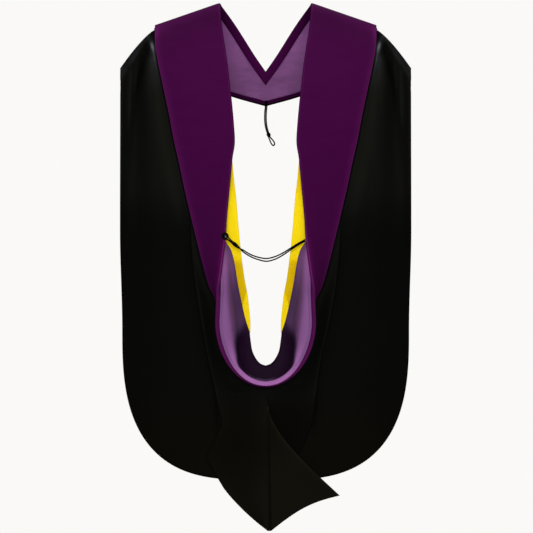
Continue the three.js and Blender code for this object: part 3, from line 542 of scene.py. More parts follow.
class Edging:
    """The velvet edging from the middle of the chest, over the shoulder, to the foot of the cowl."""

    CHEST_ROWS = 44
    ARCH_ROWS = 14
    BACK_ROWS = 104
    FOOT_ROWS = 40
    PANEL_COLUMNS = 34
    ARC_COLUMNS = 6
    RIM_COLUMNS = 5
    CROWDING = 0.13
    SEAM_STEP = 5

    def __init__(self, pattern: Pattern) -> None:
        """Works out every station and its line."""
        self.p, self.s, self.form = pattern, pattern.s, pattern.form
        s = self.s
        chest = [self.chest(t) for t in reversed(shares(self.CHEST_ROWS)[1:])]
        turns = [math.radians(90 * t) for t in shares(self.ARCH_ROWS)]
        levels = [s.arch_level - s.arch_drop * math.cos(turn) / s.cowl_drop for turn in turns]
        levels += [lerp(s.arch_level, ROUND_DROP, t) for t in shares(self.BACK_ROWS)[1:-1]]
        back = [self.back(level) for level in levels]
        foot = [self.foot(90 * t) for t in shares(self.FOOT_ROWS)]
        self.chest_count = len(chest)
        self.stations = chest + back + foot
        self.lines = [self.line(k) for k in range(len(self.stations))]
        down = [self.lines[k].panel[0] for k in range(len(chest), len(chest) + len(back), self.SEAM_STEP)]
        self.seam_line = Table("drop half", *((-point.z, point.x) for point in down))

    def from_seam(self, half: float, drop: float) -> float:
        """How far outside the velvet's outer seam a place on the back lies."""
        return half - self.seam_line.at("half", drop)

    def columns(self) -> list[float]:
        """The places across the panel, which lie close together beside its seam and its edge."""
        return [t - self.CROWDING * math.sin(math.tau * t) for t in shares(self.PANEL_COLUMNS)]

    def chest(self, t: float) -> Station:
        """The station a share t of the way from the shoulder to the middle of the chest."""
        s = self.s
        bow = s.neck_bow * math.sin(math.pi * t**s.neck_bow_power) ** 2
        edge = (s.neck_half * (1 - t) - bow, lerp(-s.stack, -s.throat_drop, t))
        low = -s.throat_drop - s.chest_strap
        half, fall = s.shoulder_half * CHEST.at("half", t), CHEST.at("fall", t)
        seam = (half, lerp(-s.stack - s.shoulder_fall, low, fall))
        run = Vector((-s.neck_half, s.stack - s.throat_drop)).normalized()
        across = Vector((edge[0] - seam[0], edge[1] - seam[1])).normalized()
        layer = lerp(s.velvet_layer, s.chest_layer, ease(t))

        def point(at: float) -> Vector:
            """The velvet a share of the way from its seam to its edge."""
            return self.form.laid(lerp(seam[0], edge[0], at), lerp(seam[1], edge[1], at), -1, layer)

        return Station(-1, 0.0, point, s.rim_inside / abs(run.cross(across)), 180.0)

    def back(self, level: float) -> Station:
        """The station at a level of the back."""
        s = self.s
        crest = COWL.at("crest", level)
        seam = self.p.seam_half(level) - s.overhang * crest - s.seam_tuck * SEAM_TUCK_REACH.at(level)
        edge = self.p.edge_half(level)

        def point(at: float) -> Vector:
            """The velvet a share of the way from its seam to its edge."""
            half = lerp(seam, edge, at)
            lift = self.p.pouch(half, level, Side.LEFT) + s.crest_height * crest * at
            return self.form.laid(half, self.p.row_z(level, half), 1, s.velvet_layer, lift)

        shown = ease((level - RIM_START_DROP) / (WALL_DROP - RIM_START_DROP))
        return Station(1, level, point, lerp(s.rim_hidden, s.rim_shown, shown), COWL.at("turn", level))

    def foot(self, turn: float) -> Station:
        """The station at an angle round the foot of the turned-out edge, in degrees."""
        s = self.s
        angle = math.radians(turn)
        seam, edge = self.p.foot_point(angle, s.overhang), self.p.foot_point(angle, 0)
        level = lerp(ROUND_DROP, 1, math.sin(angle))
        lift = self.p.pouch(seam[0], level, Side.LEFT)

        def point(at: float) -> Vector:
            """The velvet a share of the way from its seam to its edge."""
            x, z = lerp(seam[0], edge[0], at), lerp(seam[1], edge[1], at)
            return self.form.laid(x, z, 1, s.velvet_layer, lift + s.crest_height * at)

        rim = s.rim_shown * FOOT.at("rim", turn)
        return Station(1, level, point, rim, COWL.at("turn", ROUND_DROP), turn)

    def line(self, k: int) -> EdgeLine:
        """The velvet across a station: its panel, the turn round its edge and its rim."""
        station, last = self.stations[k], len(self.stations) - 1
        before, after = self.stations[max(k - 1, 0)], self.stations[min(k + 1, last)]
        along = (after.point(1) - before.point(1)).normalized()
        panel = [station.point(t) for t in self.columns()]
        edge = panel[-1]
        row = (edge - panel[-3]).normalized()
        middle = k in (0, last)
        slip = 0.0 if middle else row.dot(along)
        pull = (row - along * row.dot(along)).normalized()
        out = pull.cross(along).normalized()
        if middle:
            pull, out = (Vector((0, v.y, v.z)).normalized() for v in (pull, out))
        radius, wrap = self.s.fold_radius, math.radians(station.wrap)

        def towards(angle: float) -> Vector:
            """The way that the cloth runs once it has turned by an angle."""
            return pull * math.cos(angle) - out * math.sin(angle)

        def turned(angle: float) -> Vector:
            """A point of the turn round the edge."""
            return edge - out * radius + towards(angle - math.pi / 2) * radius

        direction = towards(wrap) * math.sqrt(1 - slip * slip) - along * (slip * wrap / math.pi)
        arc = [turned(wrap * t) for t in shares(self.ARC_COLUMNS)[1:]]
        rim = [arc[-1] + direction * station.rim * t for t in shares(self.RIM_COLUMNS)[1:]]
        return EdgeLine(panel, arc + rim, rim[-1], direction, out)


def sided(point: Vector, side: Side) -> Vector:
    """A point of the right half, moved to the side that is asked for."""
    return Vector((point.x * side.value, point.y, point.z))


def grid_normal(grid: Grid, i: int, j: int) -> Vector:
    """The normal of a grid of points at one of them."""
    down = grid[min(i + 1, len(grid) - 1)][j] - grid[max(i - 1, 0)][j]
    across = grid[i][min(j + 1, len(grid[0]) - 1)] - grid[i][max(j - 1, 0)]
    return down.cross(across).normalized()


@dataclass
class Cut:
    """What a piece of cloth measured before it was hung."""

    width: float
    length: float
    area: float

    @classmethod
    def of(cls, grid: Grid) -> Cut:
        """The cut of a grid of points.

        Args:
            grid: The rows of points of the piece.

        Returns:
            Its widest row, its longest column and its area.
        """
        rows, cols = len(grid), len(grid[0])
        width = max(sum((row[j + 1] - row[j]).length for j in range(cols - 1)) for row in grid)
        length = max(sum((grid[i + 1][j] - grid[i][j]).length for i in range(rows - 1)) for j in range(cols))
        area = 0.0
        for i in range(rows - 1):
            for j in range(cols - 1):
                a, b, c, d = grid[i][j], grid[i + 1][j], grid[i + 1][j + 1], grid[i][j + 1]
                area += ((c - a).cross(d - b)).length / 2
        return cls(width, length, area)


def link(name: str, bm: bmesh.types.BMesh, smooth: bool = True) -> bpy.types.Object:
    """Makes an object at the origin from a bmesh, which is freed."""
    mesh = bpy.data.meshes.new(name)
    bm.to_mesh(mesh)
    bm.free()
    if smooth:
        mesh.shade_smooth()
    piece = bpy.data.objects.new(name, mesh)
    bpy.context.scene.collection.objects.link(piece)
    return piece


def woven(name: str, grid: Grid, wall: float, shade: Callable[[int, int], float]) -> bpy.types.Object:
    """A sheet of cloth with its wall, laid on a grid of points.

    Args:
        name: The piece's name.
        grid: The rows of points of its middle surface.
        wall: Its thickness.
        shade: The tone of each point from 0 to 1, kept as an attribute; it is painted light and shade.

    Returns:
        The piece. Its UV map is in metres along the weave.
    """
    rows, cols = len(grid), len(grid[0])
    bm = bmesh.new()
    cut = bm.loops.layers.uv.new("cut")
    bmesh.ops.create_grid(bm, x_segments=cols - 1, y_segments=rows - 1, size=0.5)
    # The tone attribute carries painted light and painted shade.
    tone = bm.verts.layers.float.new("tone")
    where: dict[bmesh.types.BMVert, tuple[int, int]] = {}
    for vert in bm.verts:
        i, j = round((vert.co.y + 0.5) * (rows - 1)), round((vert.co.x + 0.5) * (cols - 1))
        where[vert] = (i, j)
        vert.co = grid[i][j]
        vert[tone] = clamp(shade(i, j))
    across = [[0.0] * cols for _ in range(rows)]
    along = [[0.0] * cols for _ in range(rows)]
    for i in range(rows):
        for j in range(cols):
            if j:
                across[i][j] = across[i][j - 1] + (grid[i][j] - grid[i][j - 1]).length
            if i:
                along[i][j] = along[i - 1][j] + (grid[i][j] - grid[i - 1][j]).length
    for face in bm.faces:
        for loop in face.loops:
            i, j = where[loop.vert]
            loop[cut].uv = (across[i][j], along[i][j])
    piece = link(name, bm)
    solid = piece.modifiers.new("wall", "SOLIDIFY")
    solid.thickness = wall
    solid.offset = 0.0
    return piece


def hang(piece: bpy.types.Object, grid: Grid, held: str, *rests_on: str) -> None:
    """Measures the cut of a piece's grid; nothing more is done with it."""
    cut = Cut.of(grid)


def turned_piece(
    name: str, profile: Sequence[tuple[float, float]], seat: Vector, axis: Vector, steps: int = 40
) -> bpy.types.Object:
    """A piece turned about an axis.

    Args:
        name: The piece's name.
        profile: Its radius and its height above the seat, point by point.
        seat: Where its foot stands.
        axis: The way that it points.
        steps: How many flats it has round it.

    Returns:
        The piece.
    """
    bm = bmesh.new()
    verts = [bm.verts.new((radius, 0.0, height)) for radius, height in profile]
    edges = [bm.edges.new(pair) for pair in zip(verts, verts[1:])]
    bmesh.ops.spin(
        bm,
        geom=verts + edges,
        cent=(0, 0, 0),
        axis=(0, 0, 1),
        angle=math.tau,
        steps=steps,
        use_merge=True,
        use_duplicate=False,
    )
    bmesh.ops.remove_doubles(bm, verts=bm.verts, dist=1e-6)
    bmesh.ops.recalc_face_normals(bm, faces=bm.faces)
    turn = axis.to_track_quat("Z", "Y").to_matrix().to_4x4()
    bmesh.ops.transform(bm, matrix=Matrix.Translation(seat) @ turn, verts=bm.verts)
    return link(name, bm)


class Value:
    """A shader socket on which Python's operators add Math nodes."""

    def __init__(self, shader: Shader, socket: bpy.types.NodeSocket) -> None:
        """Keeps the socket and the shader that it belongs to."""
        self.shader = shader
        self.socket = socket

    def _math(self, operation: str, other: Value | float) -> Value:
        """A Math node of this and another value."""
        return self.shader.node("ShaderNodeMath", {"operation": operation}, {0: self, 1: other})

    def __add__(self, other: Value | float) -> Value:
        """This plus another value."""
        return self._math("ADD", other)

    __radd__ = __add__

    def __sub__(self, other: Value | float) -> Value:
        """This less another value."""
        return self._math("SUBTRACT", other)

    def __mul__(self, other: Value | float) -> Value:
        """This times another value."""
        return self._math("MULTIPLY", other)


class Shader:
    """A material's nodes, ending in one Principled shader."""

    def __init__(self, name: str) -> None:
        """Makes the material."""
        self.material = bpy.data.materials.new(name)
        self.material.use_nodes = True
        self.tree = self.material.node_tree
        self.surface = self.tree.nodes["Principled BSDF"]

    def node(
        self, kind: str, settings: dict[str, object], inputs: dict[str | int, object], output: str | int = 0
    ) -> Value:
        """Adds any node.

        Args:
            kind: The node's type.
            settings: Its own settings, and stops for a ramp.
            inputs: A value or a link for each socket that isn't left alone.
            output: The output that is wanted.

        Returns:
            That output.
        """
        made = self.tree.nodes.new(kind)
        for key, value in settings.items():
            if key == "stops":
                ramp = made.color_ramp
                for k, (place, colour) in enumerate(value):
                    stop = ramp.elements[k] if k < 2 else ramp.elements.new(place)
                    stop.position, stop.color = place, colour
            else:
                setattr(made, key, value)
        for key, value in inputs.items():
            self.feed(made.inputs[key], value)
        return Value(self, made.outputs[output])

    def feed(self, socket: bpy.types.NodeSocket, value: object) -> None:
        """Links a value to a socket, or sets the number on it."""
        if isinstance(value, Value):
            self.tree.links.new(value.socket, socket)
        else:
            socket.default_value = value

    def uv(self, name: str) -> Value:
        """One of the piece's UV maps."""
        return self.node("ShaderNodeUVMap", {"uv_map": name}, {})

    def place(self) -> Value:
        """The place on the piece in the frame's own coordinates."""
        return self.node("ShaderNodeTexCoord", {}, {}, "Object")

    def scaled(self, vector: Value, scale: tuple[float, float, float]) -> Value:
        """A vector with each of its parts scaled."""
        return self.node("ShaderNodeVectorMath", {"operation": "MULTIPLY"}, {0: vector, 1: scale})

    def part(self, vector: Value, axis: str) -> Value:
        """One part of a vector."""
        return self.node("ShaderNodeSeparateXYZ", {}, {0: vector}, axis)

    def attribute(self, name: str) -> Value:
        """A number kept on the piece's points."""
        return self.node("ShaderNodeAttribute", {"attribute_name": name}, {}, "Fac")

    def noise(self, vector: Value, scale: float, detail: float = 2.0, roughness: float = 0.5) -> Value:
        """A soft random pattern from 0 to 1."""
        inputs = {"Vector": vector, "Scale": scale, "Detail": detail, "Roughness": roughness}
        return self.node("ShaderNodeTexNoise", {}, inputs)

    def threads(self, cut: Value) -> Value:
        """The fine threads of satin, drawn out along the weave."""
        return self.noise(self.scaled(cut, (2600, 260, 1)), 1.0, 1.0)

    def sine(self, way: Value, pitch: float) -> Value:
        """Even ribs of a pitch, from -1 to 1."""
        return self.node("ShaderNodeMath", {"operation": "SINE"}, {0: way * (math.tau / pitch)})

    def ramp(self, factor: Value, stops: Sequence[tuple[float, Colour]]) -> Value:
        """A colour for each value of a factor."""
        return self.node("ShaderNodeValToRGB", {"stops": stops}, {"Fac": factor}, "Color")

    def between(self, factor: Value, low: float, high: float) -> Value:
        """A factor that runs from 0 to 1 as another goes from low to high."""
        inputs = {"Value": factor, "From Min": low, "From Max": high}
        return self.node("ShaderNodeMapRange", {"interpolation_type": "SMOOTHSTEP"}, inputs)

    def blend(self, factor: Value, a: Value | Colour, b: Colour, kind: str = "MIX") -> Value:
        """A colour between two others, or another kind of mix of them."""
        inputs = {"Factor": factor, 6: a, 7: b}
        return self.node("ShaderNodeMix", {"data_type": "RGBA", "blend_type": kind}, inputs, 2)

    def bump(self, height: Value, depth: float, strength: float = 1.0) -> None:
        """Raises the surface by a height."""
        inputs = {"Height": height, "Distance": depth, "Strength": strength}
        self.feed(self.surface.inputs["Normal"], self.node("ShaderNodeBump", {}, inputs, "Normal"))

    def set(self, **values: object) -> None:
        """Sets the shader's own sockets, whose names have underscores for spaces."""
        for key, value in values.items():
            self.feed(self.surface.inputs[key.replace("_", " ")], value)


@dataclass(frozen=True)
class VelvetFinish:
    """Dark plum velvet: a short dense pile, with painted light and shade and a painted sheen where it turns over
    an edge.
    """

    # Ramp stops for the painted tone: the darkest is painted shade, the next the pile's own plum, the two
    # brightest painted light and a painted sheen.
    shadow: Colour = from_screen(30, 2, 29)
    pile: Colour = from_screen(58, 6, 55)
    lit_pile: Colour = from_screen(72, 16, 67)
    edge: Colour = from_screen(108, 30, 102)
    sheen: float = 0.03

    def material(self) -> bpy.types.Material:
        """The finish's material."""
        shader = Shader("plum_velvet")
        place = shader.place()
        brushed = shader.noise(shader.scaled(place, (14, 14, 60)), 1.0, 4.0, 0.6)
        pile = shader.noise(place, 1800.0, 2.0)
        tone = shader.attribute("tone") + (brushed - 0.5) * 0.12
        stops = [(0.0, self.shadow), (0.5, self.pile), (0.75, self.lit_pile), (1.0, self.edge)]
        shader.set(
            Base_Color=shader.ramp(tone, stops),
            Roughness=0.85 + pile * 0.15,
            Specular_IOR_Level=0.02,
            Sheen_Weight=self.sheen,
            Sheen_Roughness=0.35,
            Sheen_Tint=self.edge,
        )
        shader.bump(pile * 0.7 + brushed * 0.3, 0.0005, 0.5)
        return shader.material


@dataclass(frozen=True)
class BlackClothFinish:
    """Matt black gown cloth with a fine twill, painted shade in its folds and a painted silvery highlight on a
    sharp crest.
    """

    name: str = "black_cloth"
    # Ramp stops for the painted tone: the darkest is painted shade in folds, the next the cloth's own black, the
    # three lighter ones painted light and a painted highlight.
    fold: Colour = from_screen(3, 3, 3)
    cloth: Colour = from_screen(10, 10, 9)
    half_lit: Colour = from_screen(20, 20, 17)
    lit: Colour = from_screen(40, 41, 44)
    crest: Colour = from_screen(118, 118, 127)
    warmth: Colour = (1.13, 1.0, 0.7, 1.0)
    warm_heights: tuple[float, float] = (-0.74, -0.84)
    thread: float = 0.0007

    def material(self) -> bpy.types.Material:
        """The finish's material."""
        shader = Shader(self.name)
        cut = shader.uv("cut")
        slant = shader.part(cut, "X") + shader.part(cut, "Y") * 0.6
        twill = shader.sine(slant, self.thread)
        mottle = shader.noise(cut, 9.0, 3.0)
        fleck = shader.noise(cut, 900.0, 1.0)
        tone = shader.attribute("tone") + (mottle - 0.5) * 0.06
        stops = [(0.0, self.fold), (0.25, self.cloth), (0.5, self.half_lit), (0.75, self.lit), (1.0, self.crest)]
        low = shader.between(shader.part(shader.place(), "Z"), *self.warm_heights)
        shader.set(
            Base_Color=shader.blend(low, shader.ramp(tone, stops), self.warmth, "MULTIPLY"),
            Roughness=0.62 + mottle * 0.1,
            Specular_IOR_Level=0.012,
        )
        shader.bump(twill * 0.35 + fleck * 0.4, 0.0002, 0.5)
        return shader.material


@dataclass(frozen=True)
class SatinFinish:
    """Smooth satin, with a painted highlight along its turned edge and painted shade in its hollow."""

    name: str = "purple_satin"
    # Ramp stops for the painted tone: the two brightest are painted highlight, the middle a plain mid-tone, the
    # darkest painted shade in the hollow.
    bright: Colour = from_screen(150, 96, 153)
    band: Colour = from_screen(119, 77, 126)
    middle: Colour = from_screen(81, 55, 91)
    hollow: Colour = from_screen(19, 3, 20)
    shine: float = 0.4

    def material(self) -> bpy.types.Material:
        """The finish's material."""
        shader = Shader(self.name)
        cut = shader.uv("cut")
        threads = shader.threads(cut)
        soft = shader.noise(cut, 22.0, 3.0, 0.6)
        tone = shader.attribute("tone") + (soft - 0.5) * 0.06
        stops = [(0.0, self.bright), (0.2, self.band), (0.5, self.middle), (1.0, self.hollow)]
        shader.set(
            Base_Color=shader.ramp(tone, stops),
            Roughness=self.shine + threads * 0.08,
            Specular_IOR_Level=0.01,
        )
        shader.bump(threads * 0.12 + soft * 0.9, 0.0009, 0.5)
        return shader.material


@dataclass(frozen=True)
class LilacFinish:
    """Lilac satin of the neckband's inside, with a faint crumple."""

    light: Colour = from_screen(150, 92, 153)
    shade: Colour = from_screen(97, 56, 100)

    def material(self) -> bpy.types.Material:
        """The finish's material."""
        shader = Shader("lilac_satin")
        place = shader.place()
        threads = shader.threads(shader.uv("cut"))
        crumple = shader.noise(shader.scaled(place, (34, 34, 90)), 1.0, 5.0, 0.62)
        tone = shader.attribute("tone") + (crumple - 0.5) * 0.7
        shader.set(
            Base_Color=shader.ramp(tone, [(0.0, self.light), (1.0, self.shade)]),
            Roughness=0.5 + threads * 0.08,
            Specular_IOR_Level=0.06,
        )
        shader.bump(threads * 0.12 + crumple * 0.9, 0.0012, 0.5)
        return shader.material


@dataclass(frozen=True)
class GoldFinish:
    """Bright gold satin, its tone carrying painted light and painted shade."""

    bright: Colour = from_screen(240, 210, 16)
    middle: Colour = from_screen(221, 187, 4)
    deep: Colour = from_screen(184, 147, 1)

    def material(self) -> bpy.types.Material:
        """The finish's material."""
        shader = Shader("gold_satin")
        cut = shader.uv("cut")
        threads = shader.threads(cut)
        soft = shader.noise(cut, 30.0, 2.0)
        tone = shader.attribute("tone") + (soft - 0.5) * 0.1
        shader.set(
            Base_Color=shader.ramp(tone, [(0.0, self.bright), (0.5, self.middle), (1.0, self.deep)]),
            Roughness=0.45 + threads * 0.1,
            Specular_IOR_Level=0.01,
        )
        shader.bump(threads * 0.04 + soft * 0.8, 0.0007, 0.4)
        return shader.material


@dataclass(frozen=True)
class PolishedFinish:
    """Glossy black of the button."""

    def material(self) -> bpy.types.Material:
        """The finish's material."""
        shader = Shader("polished_black")
        swirl = shader.noise(shader.place(), 240.0, 3.0)
        shader.set(
            Base_Color=shader.blend(swirl, from_screen(1, 1, 1), from_screen(4, 4, 4)),
            Roughness=0.08 + swirl * 0.05,
            Specular_IOR_Level=0.1,
        )
        shader.bump(swirl, 0.0001, 0.2)
        return shader.material


@dataclass(frozen=True)
class CordFinish:
    """Black cord of a fine braid."""

    pitch: float = 0.0012

    def material(self) -> bpy.types.Material:
        """The finish's material."""
        shader = Shader("braided_cord")
        place = shader.place()
        slant = shader.part(place, "X") + shader.part(place, "Z")
        back = shader.part(place, "X") - shader.part(place, "Z")
        braid = shader.sine(slant, self.pitch) * shader.sine(back, self.pitch)
        shade = shader.between(braid, -1.0, 1.0)
        shader.set(
            Base_Color=shader.blend(shade, from_screen(1, 1, 1), from_screen(6, 6, 6)),
            Roughness=0.7 + shade * 0.15,
            Specular_IOR_Level=0.01,
        )
        shader.bump(braid, 0.0002, 0.6)
        return shader.material


class Finishes:
    """Every finish's material, made once."""

    def __init__(self) -> None:
        """Makes the materials."""
        self.velvet = VelvetFinish().material()
        self.black = BlackClothFinish().material()
        self.piping = BlackClothFinish("black_piping", cloth=from_screen(6, 3, 6), thread=0.0005).material()
        self.satin = SatinFinish().material()
        self.lilac = LilacFinish().material()
        self.gold = GoldFinish().material()
        self.polished = PolishedFinish().material()
        self.cord = CordFinish().material()


def fit(piece: bpy.types.Object, material: bpy.types.Material, node: str) -> None:
    """Dresses a piece and puts it on the frame.

    Args:
        piece: The finished piece.
        material: Its finish.
        node: The frame's node that it stands for.
    """
    piece.data.materials.append(material)
    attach(piece, "root")
    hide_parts(node)
    log.info("%s made", piece.name)


@dataclass
class VelvetFacing:
    """The velvet over both shoulders, turned round its edge."""

    edging: Edging
    # Painted tone: the shoulder, glow, edge and seam terms are painted light and sheen; the hem, rim and foot
    # shades are painted shade; darker further down.
    body_tones: tuple[float, float] = (0.55, 0.45)
    edge_tones: tuple[float, float] = (0.15, 0.35)
    body_reach: Reach = Reach(0.1, 0.5)
    shoulder_light: float = 0.42
    shoulder_fade: float = 0.032
    glow_light: float = 0.22
    glow_down: Reach = Reach(0.56, 0.1)
    glow_across: Reach = Reach(stop=0.0, fall=0.012)
    edge_line: Streak = Streak(1.0, 0.0014)
    seam_line: Streak = Streak(0.25, 0.0014)
    seam_glow: Streak = Streak(0.12, 0.006, aside=0.004)
    hem_shade: float = -0.3
    hem_across: Reach = Reach(stop=0.007, fall=0.002)
    hem_line: Streak = Streak(-0.25, 0.0016, aside=0.007)
    neck_rim_tones: tuple[float, float] = (0.6, 0.5)
    neck_rim_shades: tuple[float, float] = (0.12, 0.28)
    neck_rim_inner: Streak = Streak(1.0, 0.3, aside=1.0)
    rim_tones: tuple[float, float] = (0.5, 0.74)
    rim_down: Reach = Reach(0.6, 0.1)
    rim_inner: Streak = Streak(-0.12, 0.2, aside=1.0)
    foot_shade: float = -0.35
    foot_round: Reach = Reach(45, 40)

    def rim_tone(self, k: int, share: float) -> float:
        """How bright the turned velvet is painted, a share of the way from the edge to its far end; shade is
        painted inside.
        """
        station = self.edging.stations[k]
        if station.face < 0:
            up = k / self.edging.chest_count
            shade = lerp(*self.neck_rim_shades, up) * self.neck_rim_inner.at(share)
            return lerp(*self.neck_rim_tones, up) - shade
        tone = lerp(*self.rim_tones, self.rim_down.at(station.level)) + self.rim_inner.at(share)
        return tone if station.foot is None else tone + self.foot_shade * self.foot_round.at(station.foot)

    def tone(self, k: int, j: int) -> float:
        """How bright the pile is painted: painted light on a seam, by the shoulder, on the open edge and rim;
        shade by the hem.
        """
        edging = self.edging
        station, line = edging.stations[k], edging.lines[k]
        last = len(line.panel) - 1
        if j > last:
            return self.rim_tone(k, (j - last) / len(line.turned))
        point = line.panel[j]
        seam, edge = (point - line.panel[0]).length, (point - line.panel[-1]).length
        low = self.body_reach.at(station.level)
        tone = lerp(*self.body_tones, low)
        if station.face < 0:
            return tone + self.hem_shade * self.hem_across.at(seam) + self.hem_line.at(seam)
        below = station.level - edging.stations[edging.chest_count].level
        tone += self.shoulder_light * math.exp(-below / self.shoulder_fade)
        tone += self.glow_light * self.glow_down.at(station.level) * self.glow_across.at(edge)
        tone += self.seam_line.at(seam) + self.seam_glow.at(seam)
        return tone + lerp(*self.edge_tones, low) * self.edge_line.at(edge)

    def grid(self, side: Side) -> Grid:
        """The rows of the facing's middle surface."""
        grid = [[sided(p, side) for p in line.panel + line.turned] for line in self.edging.lines]
        for row in grid:
            for p in row:
                p.x = side.value * max(side.value * p.x, 0)
        return grid

    def build(self, finishes: Finishes) -> None:
        """Builds and dresses both facings."""
        for side in Side:
            grid = self.grid(side)
            piece = woven(f"velvet_facing_{side.label}", grid, self.edging.s.velvet_wall, self.tone)
            fit(piece, finishes.velvet, f"velvet_{side.label}")
            hang(piece, grid, "draped", f"cowl_{side.label}")


@dataclass
class Neckband:
    """The satin inside the neckband and the piping along its lower edge."""

    edging: Edging
    lining_columns: int = 16
    piping_sides: int = 12
    # The lining's painted tone: lighter towards the shoulders, painted light.
    lining_tones: tuple[float, float] = (0.76, 0.4)
    lining_reach: Reach = Reach(0.1, 0.5)
    piping_tone: float = 0.2

    def rows(self, line: Callable[[int, Side], list[Vector]]) -> Grid:
        """Rows of the neckband from one shoulder to the other."""
        right = list(range(self.edging.chest_count))
        return [line(k, Side.LEFT) for k in reversed(right[1:])] + [line(k, Side.RIGHT) for k in right]

    def lining_line(self, k: int, side: Side) -> list[Vector]:
        """The lining across one station, from above the hem to below the rim."""
        s, line, station = self.edging.s, self.edging.lines[k], self.edging.stations[k]
        panels = [edge.panel for edge in self.edging.lines]
        width = (line.panel[-1] - line.panel[0]).length
        start, stop = s.hem_shown / width, 1 - (station.rim + s.lining_gap) / width
        away = (s.velvet_wall + s.satin_wall) / 2 + s.lining_gap
        places = self.edging.columns()
        points = []
        for t in shares(self.lining_columns):
            at = lerp(start, stop, t)
            j = min(range(len(places)), key=lambda i: abs(places[i] - at))
            normal = grid_normal(panels, k, j)
            if normal.dot(line.out) > 0:
                normal.negate()
            point = station.point(at) + away * normal
            if k == 0:
                point.x = 0
            points.append(sided(point, side))
        return points

    def piping_line(self, k: int, side: Side) -> list[Vector]:
        """The piping's section at one station."""
        s, line = self.edging.s, self.edging.lines[k]
        away = (line.panel[0] - line.panel[1]).normalized()
        half = (s.binding_width - s.sew_gap) / 2
        centre = line.panel[0] + away * (half * s.binding_beyond)
        section = []
        for t in shares(self.piping_sides):
            turn = math.tau * t
            point = centre + away * half * math.cos(turn) + line.out * (s.velvet_wall / 2) * math.sin(turn)
            if k == 0:
                point.x = 0
            section.append(sided(point, side))
        return section

    def build(self, finishes: Finishes) -> None:
        """Builds and dresses the lining and the piping."""
        s = self.edging.s
        grid = self.rows(self.lining_line)
        middle = self.edging.chest_count - 1

        def tone(row: int, _: int) -> float:
            """The painted tone of a row: painted lighter towards the shoulders."""
            return lerp(*self.lining_tones, self.lining_reach.at(abs(row - middle) / middle))

        lining = woven("neckband_satin", grid, s.satin_wall, tone)
        fit(lining, finishes.lilac, "neckband_lining")
        hang(lining, grid, "stretched", "velvet_left", "velvet_right")
        tube = woven("neckband_piping", self.rows(self.piping_line), 0.0, lambda i, j: self.piping_tone)
        tube.modifiers.clear()
        bm = bmesh.new()
        bm.from_mesh(tube.data)
        bmesh.ops.remove_doubles(bm, verts=bm.verts, dist=1e-6)
        bmesh.ops.holes_fill(bm, edges=[e for e in bm.edges if e.is_boundary], sides=0)
        bmesh.ops.recalc_face_normals(bm, faces=bm.faces)
        bm.to_mesh(tube.data)
        bm.free()
        fit(tube, finishes.piping, "neckband_binding")


